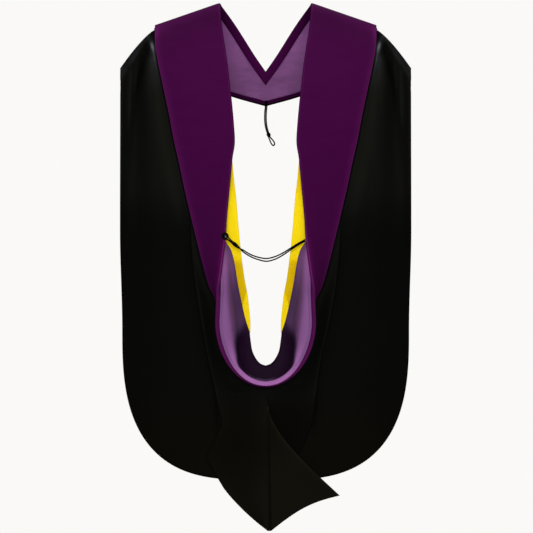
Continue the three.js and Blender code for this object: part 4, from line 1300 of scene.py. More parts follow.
@dataclass
class Cowl:
    """The black shell: its front, its fold and its near-body layer, down to the tail."""

    edging: Edging
    front_columns: int = 34
    nose_columns: int = 6
    near_columns: int = 14
    tail_rows: int = 90
    middle: float = 0.0065
    front_crowding: float = 1.5
    foot_spread: float = 0.016
    foot_blend: float = 0.025
    foot_reach: Streak = Streak(1.0, 0.06, aside=1.0)
    # Painted tone: the seam, tail hollow and right-hand shades are painted shade; the seam, fold, tail ridge and
    # tip lights are painted light.
    body_tone: float = 0.24
    seam_shade: Streak = Streak(-0.2, 0.002, 0.001, Reach(stop=0.76, fall=0.06))
    seam_light: Streak = Streak(0.12, 0.006, 0.009, Reach(stop=0.76, fall=0.06))
    fold_light: Streak = Streak(0.12, 0.002, 0.0015, Reach(0.62, 0.2, 1.08, 0.12))
    tail_down: Reach = Reach(1.0, 0.1)
    tail_ridge: Streak = Streak(0.04, 0.022)
    tail_hollow: Streak = Streak(-0.06, 0.035, aside=0.86)
    tip_light: float = 0.06
    tip_down: Reach = Reach(0.9, 0.07)
    right_shade: float = 0.15
    middle_soft: float = 0.01

    def lift(self, half: float, level: float, side: Side) -> float:
        """How far the front stands out, with no crease across the foot of the turned-out edge."""
        p = self.edging.p
        around = [p.pouch(half, level + step * self.foot_spread, side) for step in (-2, -1, 0, 1, 2)]
        share = ease((half - p.edge_half(level)) / self.foot_blend) * self.foot_reach.at(level)
        return lerp(around[2], sum(around) / 5, share)

    def line(self, side: Side, level: float, foot: float | None) -> list[Vector]:
        """The shell across one level of one half."""
        p, s = self.edging.p, self.edging.s
        fold, middle = p.fold_half(level, side), side.value * p.middle_x(level)
        nose = (s.front_layer - s.near_layer) / 2
        crest = s.overhang * COWL.at("crest", level)
        start = (middle, p.level_z(level))
        under = s.tip_underlap * clamp((2 - level) / (2 - RIGHT_FOOT_DROP))
        slot = (middle - under, start[1]) if level > RIGHT_FOOT_DROP else start
        if foot is not None:
            x, z = p.foot_point(math.radians(foot), s.overhang + s.seam_underlap)
            start = (max(x, middle), z)
            slot = (s.inner_half * FOOT.at("half", foot) + s.hem, -s.cowl_drop * FOOT.at("drop", foot))
        elif level <= 1:
            velvet = p.seam_half(level) - p.edge_half(level) - crest
            begin = p.edge_half(level) + max(velvet - s.underlap, -crest - s.seam_underlap)
            inner = p.slot_half(level) + s.hem
            start, slot = (begin, p.row_z(level, begin)), (inner, p.row_z(level, inner))

        def height(half: float, end: tuple[float, float]) -> float:
            """The height of the cloth between the fold and one of its ends."""
            if foot is None:
                return p.row_z(level, half) if level <= 1 else p.level_z(level)
            return lerp(p.level_z(level), end[1], clamp((fold - half) / (fold - end[0])))

        points = []
        for t in shares(self.front_columns):
            half = lerp(start[0], fold - nose, t**self.front_crowding)
            groove = s.seam_groove * bell(half - start[0], s.seam_width) if level > 1 else 0.0
            lift = self.lift(half, level, side) - groove
            points.append(p.form.laid(half, height(half, start), 1, s.front_layer, lift))
        centre = fold - nose
        mid = (s.front_layer + s.near_layer) / 2
        for t in shares(self.nose_columns)[1:-1]:
            half = centre + nose * math.sin(math.pi * t)
            points.append(p.form.laid(half, height(half, start), 1, mid + nose * math.cos(math.pi * t)))
        for t in shares(self.near_columns):
            half = lerp(centre, slot[0], t)
            points.append(p.form.laid(half, height(half, slot), 1, s.near_layer))
        return [sided(point, side) for point in points]

    def grid(self, side: Side) -> Grid:
        """The rows of one half of the shell."""
        rows = [
            self.line(side, station.level, station.foot)
            for station in self.edging.stations[self.edging.chest_count :]
        ]
        last = TIP_DROP if side is Side.LEFT else RIGHT_FOOT_DROP
        count = round(self.tail_rows * (last - 1))
        return rows + [self.line(side, lerp(1, last, t), None) for t in shares(count)[1:]]

    def tone(self, point: Vector, side: Side) -> float:
        """How light the cloth is painted at a point: painted shade in the seam, painted light beside it and along
        the fold.
        """
        p, drop, half = self.edging.p, -point.z, abs(point.x)
        level = drop / p.s.cowl_drop
        seam = self.edging.from_seam(half, drop)
        middle = point.x - self.middle
        tail = self.tail_down.at(level)
        left = ease(0.5 - middle / self.middle_soft)
        tone = self.body_tone + self.seam_shade.at(seam, level) + self.seam_light.at(seam, level)
        tone += self.fold_light.at(p.fold_half(level, side) - half, level)
        tone += tail * left * (self.tail_ridge.at(middle) + self.tail_hollow.at(drop))
        tone += left * self.tip_light * self.tip_down.at(drop)
        return tone - tail * (1 - left) * self.right_shade

    def build(self, finishes: Finishes) -> None:
        """Builds and dresses both halves."""
        for side in Side:
            grid = self.grid(side)
            name = f"cowl_shell_{side.label}"
            piece = woven(name, grid, self.edging.s.shell_wall, lambda i, j: self.tone(grid[i][j], side))
            fit(piece, finishes.black, f"cowl_{side.label}")
            hang(piece, grid, "hung", f"cape_{side.label}")


@dataclass
class TailFlap:
    """The free flap of the tail, in front of its right half."""

    edging: Edging
    rows: int = 70
    columns: int = 40
    # Painted tone: lighter further down, with painted light along the free edge.
    body_tones: tuple[float, float] = (0.2, 0.34)
    brightening: float = 1.4
    edge_glow: Streak = Streak(0.12, 0.014)
    edge_line: Streak = Streak(0.2, 0.004)

    def grid(self) -> Grid:
        """The rows of the flap, from the middle seam to its free edge."""
        p, s = self.edging.p, self.edging.s
        start, first = p.level_z(FLAP_START_DROP), p.middle_x(FLAP_START_DROP) + s.flap_head
        grid = []
        for t in shares(self.rows):
            level = lerp(FLAP_START_DROP, TIP_DROP, t)
            seam = (p.middle_x(level) + s.sew_gap, p.level_z(level))
            free = (
                lerp(first, s.flap_half, FLAP_EDGE.at("across", t)),
                lerp(start, -s.flap_drop, FLAP_EDGE.at("down", t)),
            )
            base = p.pouch(0, level, Side.LEFT)
            row = []
            for a in shares(self.columns):
                z = lerp(seam[1], free[1], a) + s.flap_rise * t * t * math.sin(math.pi * a)
                curl = s.flap_curl * a * a * min(2 * t, 1)
                row.append(p.form.laid(lerp(seam[0], free[0], a), z, 1, s.front_layer, base + curl))
            grid.append(row)
        return grid

    def build(self, finishes: Finishes) -> None:
        """Builds and dresses the flap."""
        grid = self.grid()

        def tone(i: int, j: int) -> float:
            """The painted tone of a point: lighter further down, and painted light along the free edge."""
            away = (grid[i][j] - grid[i][-1]).length
            down = i / self.rows
            tone = lerp(*self.body_tones, ease(down * self.brightening))
            return tone + self.edge_glow.at(away) * (1 - down) + self.edge_line.at(away) * (1 - down / 2)

        piece = woven("tail_flap_cloth", grid, self.edging.s.shell_wall, tone)
        fit(piece, finishes.black, "tail_flap")
        hang(piece, grid, "hung", "cowl_left")


@dataclass
class Cape:
    """The black side panels."""

    edging: Edging
    columns: int = 140
    arch_rows: int = 26
    hang_rows: int = 130
    corner_power: float = 2.8
    waist: float = 0.016
    waist_start: float = 0.44
    waist_end: float = 0.64
    folds: tuple[Streak, ...] = (
        Streak(-0.004, 0.07, 0.1, Reach(0.0, 0.06, 0.1, 0.5)),
        Streak(0.007, 0.08, 0.24, Reach(0.0, 0.06, 0.1, 0.55)),
        Streak(-0.006, 0.09, 0.42, Reach(0.0, 0.06, 0.1, 0.6)),
        Streak(0.008, 0.09, 0.6, Reach(0.0, 0.06, 0.1, 0.45)),
    )
    deep_fold: Table = field(
        default_factory=lambda: Table(
            "drop half",
            (0.07, 0.2265),
            (0.0943, 0.2308),
            (0.1222, 0.2385),
            (0.1585, 0.25),
            (0.19, 0.2555),
            (0.22, 0.259),
            (0.2534, 0.263),
            (0.36, 0.266),
        )
    )
    bright_fold: Table = field(
        default_factory=lambda: Table(
            "drop half",
            (0.06, 0.2262),
            (0.0747, 0.2231),
            (0.0845, 0.2205),
            (0.0998, 0.2165),
            (0.12, 0.2135),
        )
    )
    lit_band: Table = field(
        default_factory=lambda: Table(
            "drop half",
            (0.085, 0.2245),
            (0.1222, 0.2195),
            (0.164, 0.2145),
            (0.206, 0.2075),
            (0.249, 0.201),
            (0.31, 0.1895),
            (0.39, 0.174),
            (0.47, 0.158),
        )
    )
    facet_half: float = 0.2295
    facet_drop: float = 0.0718
    facet_slope: float = 1.504
    facet_run: float = 1.8
    facet_soft: float = 0.004
    facet_crest: Streak = Streak(0.004, 0.006)
    facet_across: Reach = Reach(0.222, 0.01)
    hollow: Streak = Streak(-0.004, 0.01, 0.0, Reach(0.06, 0.03, 0.2, 0.16))
    ridge: Streak = Streak(0.003, 0.007, 0.0, Reach(0.06, 0.03, 0.2, 0.16))
    # Painted tone: the hollow, seam and fold shades are painted shade; the ridge, crest highlight, lit band,
    # outer, facet and corner terms are painted light and highlight; darker further down.
    ground: float = 0.29
    ground_steps: tuple[tuple[float, Reach], ...] = (
        (0.06, Reach(0.1, 0.05)),
        (-0.17, Reach(0.34, 0.12)),
        (0.01, Reach(0.75, 0.1)),
    )
    hollow_shade: Streak = Streak(-0.17, 0.0058, 0.0, Reach(0.06, 0.02, 0.23, 0.14))
    ridge_light: Streak = Streak(0.22, 0.008, 0.0012, Reach(0.055, 0.015, 0.1, 0.04))
    highlight_across: Streak = Streak(0.46, 0.0062, aside=0.0012)
    highlight_down: Streak = Streak(1.0, 0.014, aside=0.0835)
    lit_tones: tuple[float, float] = (0.3, 0.14)
    lit_dims: Reach = Reach(0.1, 0.1)
    lit_light: Streak = Streak(1.0, 0.0135, 0.0, Reach(0.085, 0.03, 0.36, 0.12))
    outer_light: Streak = Streak(0.12, 0.006, 0.2685, Reach(0.125, 0.01, 0.19, 0.07))
    facet_start: Reach = Reach(0.221, 0.004)
    facet_tones: tuple[float, float] = (0.14, 0.08)
    facet_middle: Streak = Streak(0.18, 0.02, aside=0.254)
    facet_line: Streak = Streak(1.0, 0.0072, aside=-0.0066)
    corner_across: Streak = Streak(0.25, 0.003, aside=0.2815)
    corner_down: Streak = Streak(1.0, 0.003, aside=0.1265)
    seam_lines: tuple[Streak, ...] = (
        Streak(0.1, 0.0015, 0.0052, Reach(0.08, 0.05, 0.42, 0.06)),
        Streak(-0.35, 0.0022, 0.001, Reach(0.08, 0.05, 0.42, 0.06)),
    )
    fold_shades: tuple[Streak, ...] = (
        Streak(-0.14, 0.004, 0.0, Reach(0.36, 0.1, 0.8, 0.06)),
        Streak(-0.05, 0.02, 0.0, Reach(0.36, 0.1, 0.8, 0.06)),
    )

    def facet(self, half: float, drop: float) -> float:
        """How far below the shoulder's turned-over facet a point lies; it is negative on the facet."""
        return (drop - self.facet_drop - (half - self.facet_half) * self.facet_slope) / self.facet_run

    def shoulder_tone(self, half: float, drop: float) -> float:
        """What the folds below the shoulder add: painted shade in a hollow, a painted highlight on a ridge, a
        painted lit band and facet.
        """
        below = self.facet(half, drop)
        open_cloth = ease(below / self.facet_soft + 0.5)
        ridge = half - self.bright_fold.at("half", drop)
        lit = self.lit_light.at(half - self.lit_band.at("half", drop), drop)
        tone = self.hollow_shade.at(half - self.deep_fold.at("half", drop), drop) * open_cloth
        tone += self.ridge_light.at(ridge, drop) + self.highlight_across.at(ridge) * self.highlight_down.at(drop)
        tone += lerp(*self.lit_tones, self.lit_dims.at(drop)) * lit + self.outer_light.at(half, drop)
        flat, light = self.facet_tones
        light = (light + self.facet_middle.at(half)) * self.facet_line.at(below)
        tone += (1 - open_cloth) * self.facet_start.at(half) * (flat + light)
        return tone + self.corner_across.at(half) * self.corner_down.at(drop)

    def tone(self, point: Vector, side: Side) -> float:
        """How light the cloth is painted at a point: a painted highlight beside the shoulder's seam, painted
        shade in its long fold.
        """
        p, half, drop = self.edging.p, abs(point.x), -point.z
        seam = self.edging.from_seam(half, drop)
        fold = half - p.fold_half(drop / p.s.cowl_drop, side)
        tone = self.ground + sum(amount * reach.at(drop) for amount, reach in self.ground_steps)
        tone += self.shoulder_tone(half, drop) + sum(line.at(seam, drop) for line in self.seam_lines)
        return tone + sum(shade.at(fold, drop) for shade in self.fold_shades)

    def soft_folds(self, half: float, drop: float) -> float:
        """How far the shoulder's own folds lift the panel: its facet, its bright crest and its long hollow."""
        lift = self.facet_crest.at(self.facet(half, drop)) * self.facet_across.at(half)
        lift += self.hollow.at(half - self.deep_fold.at("half", drop), drop)
        return lift + self.ridge.at(half - self.bright_fold.at("half", drop), drop)

    def grid(self, side: Side) -> Grid:
        """The columns of one panel, from its shoulder edge down to its round foot."""
        p, s = self.edging.p, self.edging.s
        grid = []
        for across in shares(self.columns):
            top = lerp(s.cape_half, s.shoulder_half - s.underlap, across)
            turn = math.radians(90 * across)
            reach = (max(math.cos(turn), 0.0), math.sin(turn))
            size = (reach[0] ** self.corner_power + reach[1] ** self.corner_power) ** (-1 / self.corner_power)
            foot_x = s.cape_inner_half + (s.cape_half - s.cape_inner_half) * reach[0] * size
            foot_z = -s.cape_corner_drop - (s.cape_length - s.cape_corner_drop) * reach[1] * size
            head = p.form.ridge(top)
            whole = head - foot_z
            falls = [s.arch_drop * (1 - math.cos(math.radians(90 * t))) for t in shares(self.arch_rows)]
            falls += [lerp(s.arch_drop, whole, t) for t in shares(self.hang_rows)[1:]]
            column = []
            for fall in falls:
                x = lerp(top, foot_x, fall / whole)
                z = p.form.ridge(x) - fall if fall <= s.arch_drop else head - fall
                x *= 1 - self.waist * ease((-z - self.waist_start) / (self.waist_end - self.waist_start))
                lift = sum(fold.at(across, fall / whole) for fold in self.folds) + self.soft_folds(x, -z)
                column.append(sided(p.form.laid(x, z, 1, s.cape_layer, lift), side))
            grid.append(column)
        return grid

    def build(self, finishes: Finishes) -> None:
        """Builds and dresses both panels."""
        for side in Side:
            grid = self.grid(side)
            name = f"cape_panel_{side.label}"
            piece = woven(name, grid, self.edging.s.shell_wall, lambda i, j: self.tone(grid[i][j], side))
            fit(piece, finishes.black, f"cape_{side.label}")
            hang(piece, grid, "hung", f"cowl_{side.label}")


@dataclass
class Lining:
    """The purple satin that is turned out, and the gold arms of the chevron."""

    edging: Edging
    satin_columns: int = 44
    under_crest: float = 0.7
    chevron_columns: int = 14
    chevron_rows: int = 90
    chevron_top: float = 0.367
    chevron_foot: float = 0.86
    # Painted tone of the satin: bowl and dusk place painted shade in the pouch's hollow, band and high_light
    # painted highlight, gold_shade painted shade beside the gold, wall_light painted light on the steep wall;
    # side_lines darken thin lines by the rim.
    bowl_drop: float = 0.66
    bowl_softness: tuple[float, float] = (0.012, 0.0025)
    bowl_turn: Reach = Reach(5, 45)
    dusk: Reach = Reach(0.606, 0.046)
    dusk_slant: float = 0.7
    foot_turn: Reach = Reach(25, 35)
    band_tone: float = 0.2
    middle_tone: float = 0.5
    hollow_tone: float = 0.97
    band_soft: float = 0.023
    high_light: float = -0.16
    high: Reach = Reach(stop=0.49, fall=0.08)
    gold_shade: Streak = Streak(0.22, 0.011)
    wall_light: Streak = Streak(-0.1, 0.007, aside=0.0635)
    side_lines: tuple[Streak, ...] = (
        Streak(0.14, 0.001, 0.005, Reach(0.5, 0.08)),
        Streak(0.14, 0.0015, 0.0, Reach(0.5, 0.08)),
    )
    crease_half: float = 0.0447
    crease_drop: float = 0.592
    crease_slope: float = 3.436
    crease_soft: float = 0.004
    crease_down: Reach = Reach(0.72, 0.03)
    crease_lift: Streak = Streak(-0.0012, 0.004, 0.0, Reach(0.72, 0.03))
    # Painted tone of the gold: darker at the top and further down, painted shade at its outer edge by the velvet,
    # painted light on the facet below the crease.
    gold_steps: tuple[tuple[float, Reach], ...] = (
        (0.42, Reach(stop=0.46, fall=0.07)),
        (0.72, Reach(0.654, 0.03)),
    )
    gold_outer: float = 0.16
    gold_outer_down: Reach = Reach(0.6, 0.08)
    gold_facet: float = 0.2
    bowl: Table = field(
        default_factory=lambda: Table(
            "turn radius",
            (-60, 0.056),
            (-15.7, 0.0565),
            (20.6, 0.0616),
            (41.9, 0.0717),
            (54.1, 0.0741),
            (71.9, 0.0768),
            (90, 0.0785),
        )
    )
    band: Table = field(
        default_factory=lambda: Table(
            "drop half",
            (0.47, 0.0745),
            (0.504, 0.07),
            (0.543, 0.0665),
            (0.582, 0.0682),
            (0.62, 0.0635),
            (0.67, 0.06),
            (0.72, 0.03),
        )
    )

    def satin_line(self, k: int, side: Side) -> list[Vector]:
        """The satin across one station, from the rim to its inner edge."""
        p, s = self.edging.p, self.edging.s
        line, station = self.edging.lines[k], self.edging.stations[k]
        level, foot = station.level, station.foot
        turned = COWL.at("crest", min(level, ROUND_DROP))
        under = 1 - ease(turned / self.under_crest)
        start = line.end + line.direction * s.lining_gap
        start -= line.out * under * (s.layer_room + (s.velvet_wall + s.satin_wall) / 2)
        inner = p.slot_half(level) if foot is None else s.inner_half * FOOT.at("half", foot)
        drop = level if foot is None else FOOT.at("drop", foot)
        half = max(s.cowl_half * CHEVRON.at("half", drop), inner) if drop < CHEVRON.rows[-1][0] else inner
        low = -s.cowl_drop * drop
        end = p.form.laid(half, low, 1, s.satin_layer)
        rounded = 0.0 if foot is None else ease(foot / 90)
        points = []
        for q in shares(self.satin_columns):
            way = lerp(lerp(q, SATIN.at("side_in", q), turned), SATIN.at("foot_in", q), rounded)
            up = lerp(lerp(1 - q, SATIN.at("side_up", q), turned), SATIN.at("foot_up", q), rounded)
            x = 0.0 if foot == 90 else lerp(start.x, end.x, way)
            points.append(sided(Vector((x, lerp(end.y, start.y, up), lerp(start.z, end.z, way))), side))
        return points

    def satin_tone(self, point: Vector, inward: float) -> float:
        """How dark the satin is painted at a point: painted highlight near the rim, painted shade in the hollow.

        Args:
            point: The point.
            inward: Its distance from the rim.

        Returns:
            The painted tone: 0 on the foot's painted highlight, 0.2 on the band, 0.5 in the middle and 1 in the
                hollow's painted shade.
        """
        half, drop = abs(point.x), -point.z
        below = drop - self.bowl_drop
        turn = math.degrees(math.atan2(below, half))
        radius = math.hypot(half, below)
        soft = lerp(*self.bowl_softness, self.bowl_turn.at(turn))
        inside = ease((self.bowl.at("radius", turn) - radius) / soft + 0.5)
        low = self.dusk.at(drop + self.dusk_slant * (self.crease_half - half))
        side = 1 - self.foot_turn.at(turn)
        middle = ease((self.band.at("half", drop) - half) / self.band_soft + 0.5) * side
        gold = self.edging.s.cowl_half * CHEVRON.at("half", drop / self.edging.s.cowl_drop)
        tone = lerp(self.band_tone * side, self.middle_tone, middle) + self.high_light * self.high.at(drop)
        tone += (self.gold_shade.at(half - gold) + self.wall_light.at(half)) * side
        tone = lerp(tone, self.hollow_tone, inside * low)
        return tone + side * sum(line.at(inward, drop) for line in self.side_lines)

    def build_satin(self, finishes: Finishes) -> None:
        """Builds and dresses the satin."""
        stations = self.edging.stations
        first = next(k for k, station in enumerate(stations) if station.level > LIFT_OFF_DROP)
        left = list(range(first, len(stations)))
        grid = [self.satin_line(k, Side.LEFT) for k in left]
        grid += [self.satin_line(k, Side.RIGHT) for k in left[-2::-1]]

        def hollow(i: int, j: int) -> float:
            """The painted tone of a point of the satin."""
            return self.satin_tone(grid[i][j], (grid[i][j] - grid[i][0]).length)

        piece = woven("turned_out_satin", grid, self.edging.s.satin_wall, hollow)
        fit(piece, finishes.satin, "satin_lining")
        hang(piece, grid, "stretched", "velvet_left", "velvet_right")

    def gold_point(self, level: float, across: float) -> tuple[Vector, float]:
        """A point of the gold cloth and its tone.

        Args:
            level: The level of its row.
            across: Its share of the way from the slot to the cloth's far edge.

        Returns:
            The point, on the right half, and its painted tone from 0, which is painted light, to 1, painted
            shade.
        """
        p, s = self.edging.p, self.edging.s
        inner = p.slot_half(level)
        under = p.edge_half(level) if level < LIFT_OFF_DROP else s.cowl_half * CHEVRON.at("half", level)
        half = lerp(inner, max(under, inner) + s.chevron_underlap, across)
        z = p.row_z(level, half)
        beyond = -z - self.crease_drop + self.crease_slope * (self.crease_half - half)
        below = ease(beyond / self.crease_soft + 0.5) * self.crease_down.at(level)
        shown = clamp((half - inner) / max(under - inner, 0.001))
        tone = sum(amount * reach.at(level) for amount, reach in self.gold_steps)
        tone += self.gold_outer * shown**2 * self.gold_outer_down.at(level)
        point = p.form.laid(half, z, 1, s.lining_layer, self.crease_lift.at(beyond, level))
        return point, lerp(tone, self.gold_facet, below)

    def build_chevron(self, side: Side, finishes: Finishes) -> None:
        """Builds and dresses one gold arm."""
        levels = [lerp(self.chevron_top, self.chevron_foot, t) for t in shares(self.chevron_rows)]
        rows = [[self.gold_point(level, a) for a in shares(self.chevron_columns)] for level in levels]
        grid = [[sided(point, side) for point, _ in row] for row in rows]
        name = f"gold_chevron_{side.label}"
        piece = woven(name, grid, self.edging.s.satin_wall, lambda i, j: rows[i][j][1])
        fit(piece, finishes.gold, f"chevron_{side.label}")
        hang(piece, grid, "stretched", f"cowl_{side.label}")

    def build(self, finishes: Finishes) -> None:
        """Builds and dresses the satin and both gold arms."""
        self.build_satin(finishes)
        for side in Side:
            self.build_chevron(side, finishes)


def smooth_route(points: Sequence[Vector], steps: int) -> list[Vector]:
    """A centripetal curve through points.

    Args:
        points: The points of the route.
        steps: How many pieces each stretch between two points is cut into.

    Returns:
        The points of the curve, ends and all.
    """
    ends = [2 * points[0] - points[1], *points, 2 * points[-1] - points[-2]]
    route = [points[0].copy()]
    for a, b, c, d in zip(ends, ends[1:], ends[2:], ends[3:]):
        gaps = [max((q - p).length, 1e-6) ** 0.5 for p, q in ((a, b), (b, c), (c, d))]
        out = (b - a) / gaps[0] - (c - a) / (gaps[0] + gaps[1]) + (c - b) / gaps[1]
        back = (c - b) / gaps[1] - (d - b) / (gaps[1] + gaps[2]) + (d - c) / gaps[2]
        start, end = out * gaps[1], back * gaps[1]
        for k in range(1, steps + 1):
            route.append(hermite(k / steps, b, c, start, end))
    return route


def cord_piece(name: str, route: Sequence[Vector], width: float) -> bpy.types.Object:
    """A round cord along a route, as a curve of one open spline."""
    curve = bpy.data.curves.new(name, "CURVE")
    curve.dimensions = "3D"
    curve.bevel_depth = width / 2
    curve.bevel_resolution = 3
    curve.use_fill_caps = True
    spline = curve.splines.new("POLY")
    spline.points.add(len(route) - 1)
    for point, place in zip(spline.points, route):
        point.co = (*place, 1.0)
    piece = bpy.data.objects.new(name, curve)
    bpy.context.scene.collection.objects.link(piece)
    return piece


def route_length(route: Iterable[Vector]) -> float:
    """The length of a route."""
    points = list(route)
    return sum((b - a).length for a, b in zip(points, points[1:]))


@dataclass
class Fittings:
    """The button, the two doubled cords, the slide and the knot."""

    edging: Edging
    cord_width: float = 0.0028
    strand_apart: float = 0.0014
    button_radius: float = 0.0073
    button_height: float = 0.0046
    stem_radius: float = 0.0018
    stem_height: float = 0.0034
    button_inset: float = -0.001
    cord_level: float = 0.6195
    button_level: float = 0.61
    slide_place: float = 0.0255
    slide_radius: float = 0.0037
    slide_length: float = 0.0097
    knot_radius: float = 0.0041
    knot_length: float = 0.0056
    barrel_steps: int = 24
    barrel_bulge: tuple[float, float] = (0.12, 0.88)
    barrel_end: float = 0.72
    barrel_groove: float = 0.12
    dome_steps: int = 10
    route_steps: int = 5
    pull: tuple[float, float, float] = (0.76, 0.0, -0.65)
    loop: Table = field(
        default_factory=lambda: Table(
            "along beside",
            (0.0335, 0.0014),
            (0.0265, 0.0014),
            (0.0185, 0.0014),
            (0.0125, 0.0014),
            (0.0085, 0.0017),
            (0.004, 0.0031),
            (0.0, 0.0037),
            (-0.0028, 0.0028),
            (-0.0039, 0.0),
        )
    )
    strands: Table = field(
        default_factory=lambda: Table(
            "x drop apart",
            (-0.0452, 0.4839, 0.0015),
            (-0.0296, 0.4937, 0.002),
            (-0.014, 0.4995, 0.0023),
            (0.0017, 0.5023, 0.0027),
            (0.0173, 0.4988, 0.0026),
            (0.0329, 0.4913, 0.0021),
            (0.0486, 0.481, 0.0016),
            (0.0642, 0.4712, 0.0015),
            (0.072, 0.4669, 0.0015),
        )
    )
    neck_strands: Table = field(
        default_factory=lambda: Table(
            "drop x apart",
            (0.0, 0.0009, 0.0014),
            (0.0122, 0.0009, 0.0014),
            (0.0195, 0.0001, 0.0014),
            (0.0258, -0.0003, 0.0014),
            (0.0405, -0.0003, 0.0014),
            (0.0527, 0.0014, 0.0014),
            (0.0612, 0.0038, 0.0014),
            (0.0672, 0.0059, 0.0014),
            (0.071, 0.007, 0.0014),
        )
    )
    neck_loop: Table = field(
        default_factory=lambda: Table(
            "x drop",
            (0.0077, 0.0767),
            (0.0096, 0.0815),
            (0.0121, 0.086),
            (0.0149, 0.0882),
            (0.0174, 0.0864),
            (0.0167, 0.0818),
            (0.0133, 0.077),
        )
    )
    neck_start_z: float = -0.1894

    def __post_init__(self) -> None:
        """Finds the velvet's line at the button, and where the button and the neckband's cord start."""
        s, edging = self.edging.s, self.edging
        station = edging.back(self.button_level)
        near = edging.back(self.button_level + 0.002)
        edge, inside = station.point(1), station.point(0.96)
        along = (near.point(1) - edge).normalized()
        inward = (inside - edge).normalized()
        pull = (-inward - along * (-inward).dot(along)).normalized()
        out = pull.cross(along).normalized()
        self.out = sided(out, Side.LEFT)
        seat = edge + inward * self.button_inset + out * (s.velvet_wall / 2 + s.sew_gap)
        self.seat = sided(seat, Side.LEFT)
        nose = edge - out * s.fold_radius + pull * s.fold_radius
        shift = edging.back(self.cord_level).point(1) - edge
        self.end = nose + shift - Vector((s.velvet_wall / 2 + 2 * s.sew_gap, 0, 0))
        foot = edging.lines[0].panel[0]
        away = s.velvet_wall / 2 + s.lining_gap + s.satin_wall + self.cord_width / 2 + s.sew_gap
        self.neck_start = Vector((0, foot.y - away, self.neck_start_z))

    def cord_frame(self) -> tuple[Vector, Vector, Vector]:
        """The middle of the stem, the cord's pull from it and the way beside it."""
        pull = Vector(self.pull)
        pull = (pull - self.out * pull.dot(self.out)).normalized()
        return self.seat + self.out * (self.stem_height / 2), pull, self.out.cross(pull)

    def lining_route(self) -> list[Vector]:
        """The lining cord's points: out from the right edge, round the stem and back."""
        stem, pull, beside = self.cord_frame()

        def strand(row: tuple[float, ...], sign: int) -> Vector:
            """A point of one strand between the slide and the right edge."""
            share = clamp((row[0] - stem.x) / (self.end.x - stem.x))
            return Vector((row[0], lerp(stem.y, self.end.y, share), -row[1] - sign * row[2]))

        def looped(row: tuple[float, ...], sign: int) -> Vector:
            """A point of the turn round the stem."""
            return stem + pull * row[0] + beside * sign * row[1]

        def end(sign: int) -> Vector:
            """A strand's end at the right edge."""
            return self.end - Vector((0, 0, sign * self.strand_apart))

        out = [strand(row, 1) for row in reversed(self.strands.rows)]
        out += [looped(row, 1) for row in self.loop.rows]
        back = [looped(row, -1) for row in reversed(self.loop.rows[:-1])]
        back += [strand(row, -1) for row in self.strands.rows]
        return [end(1), *out, *back, end(-1)]

    def neck_route(self) -> list[Vector]:
        """The neckband cord's points: down through the knot, round its loop and back."""

        def point(x: float, drop: float) -> Vector:
            """A point below the neckband."""
            return self.neck_start + Vector((x, 0, -drop))

        down = [point(x - apart, drop) for drop, x, apart in self.neck_strands.rows]
        up = [point(x + apart, drop) for drop, x, apart in reversed(self.neck_strands.rows)]
        return down + [point(x, drop) for x, drop in self.neck_loop.rows] + up

    def build_cords(self, finishes: Finishes) -> None:
        """Builds and dresses both cords with what is on them."""
        stem, pull, _ = self.cord_frame()
        hole = self.cord_width / 2 + self.strand_apart + self.edging.s.sew_gap
        place = stem + pull * self.slide_place
        slide = self.barrel("cord_slide_bead", place, pull, hole, self.slide_radius, self.slide_length, 0)
        fit(slide, finishes.cord, "cord_slide")
        a, b = self.neck_strands.rows[-3:-1]
        direction = Vector((b[1] - a[1], 0, a[0] - b[0])).normalized()
        centre = self.neck_start + Vector((b[1], 0, -b[0]))
        knot = self.barrel("neck_cord_knot", centre, direction, hole, self.knot_radius, self.knot_length, 3)
        fit(knot, finishes.cord, "neck_knot")
        for name, points, node, on_it in (
            ("lining_cord_braid", self.lining_route(), "lining_cord", slide),
            ("neck_cord_braid", self.neck_route(), "neck_cord", knot),
        ):
            route = smooth_route(points, self.route_steps)
            piece = cord_piece(name, route, self.cord_width)
            fit(piece, finishes.cord, node)
            tuple(route[0])
            route_length(route)

    def barrel(
        self, name: str, centre: Vector, axis: Vector, hole: float, radius: float, length: float, turns: int
    ) -> bpy.types.Object:
        """A barrel with a hole for a pair of cords, grooved where it is wound."""
        profile = [(hole, -length / 2)]
        for t in shares(self.barrel_steps):
            bulge = math.sin(math.pi * lerp(*self.barrel_bulge, t)) ** 0.5
            swell = radius * lerp(self.barrel_end, 1, bulge)
            if turns:
                swell -= self.barrel_groove * radius * (1 - abs(math.sin(math.pi * turns * t)))
            profile.append((swell, lerp(-0.5, 0.5, t) * length))
        profile += [(hole, length / 2), (hole, -length / 2)]
        return turned_piece(name, profile, centre, axis)

    def build(self, finishes: Finishes) -> None:
        """Builds and dresses the button on its stem."""
        low = self.stem_height
        profile = [(0.0, 0.0), (self.stem_radius, 0.0), (self.stem_radius, low)]
        profile += [(self.button_radius * 0.86, low), (self.button_radius * 0.97, low + self.button_height * 0.1)]
        for t in shares(self.dome_steps):
            angle = math.radians(90 * t)
            height = low + self.button_height * (0.25 + 0.75 * math.sin(angle))
            profile.append((self.button_radius * math.cos(angle) if t < 1 else 0.0, height))
        piece = turned_piece("lining_button", profile, self.seat, self.out)
        fit(piece, finishes.polished, "button")


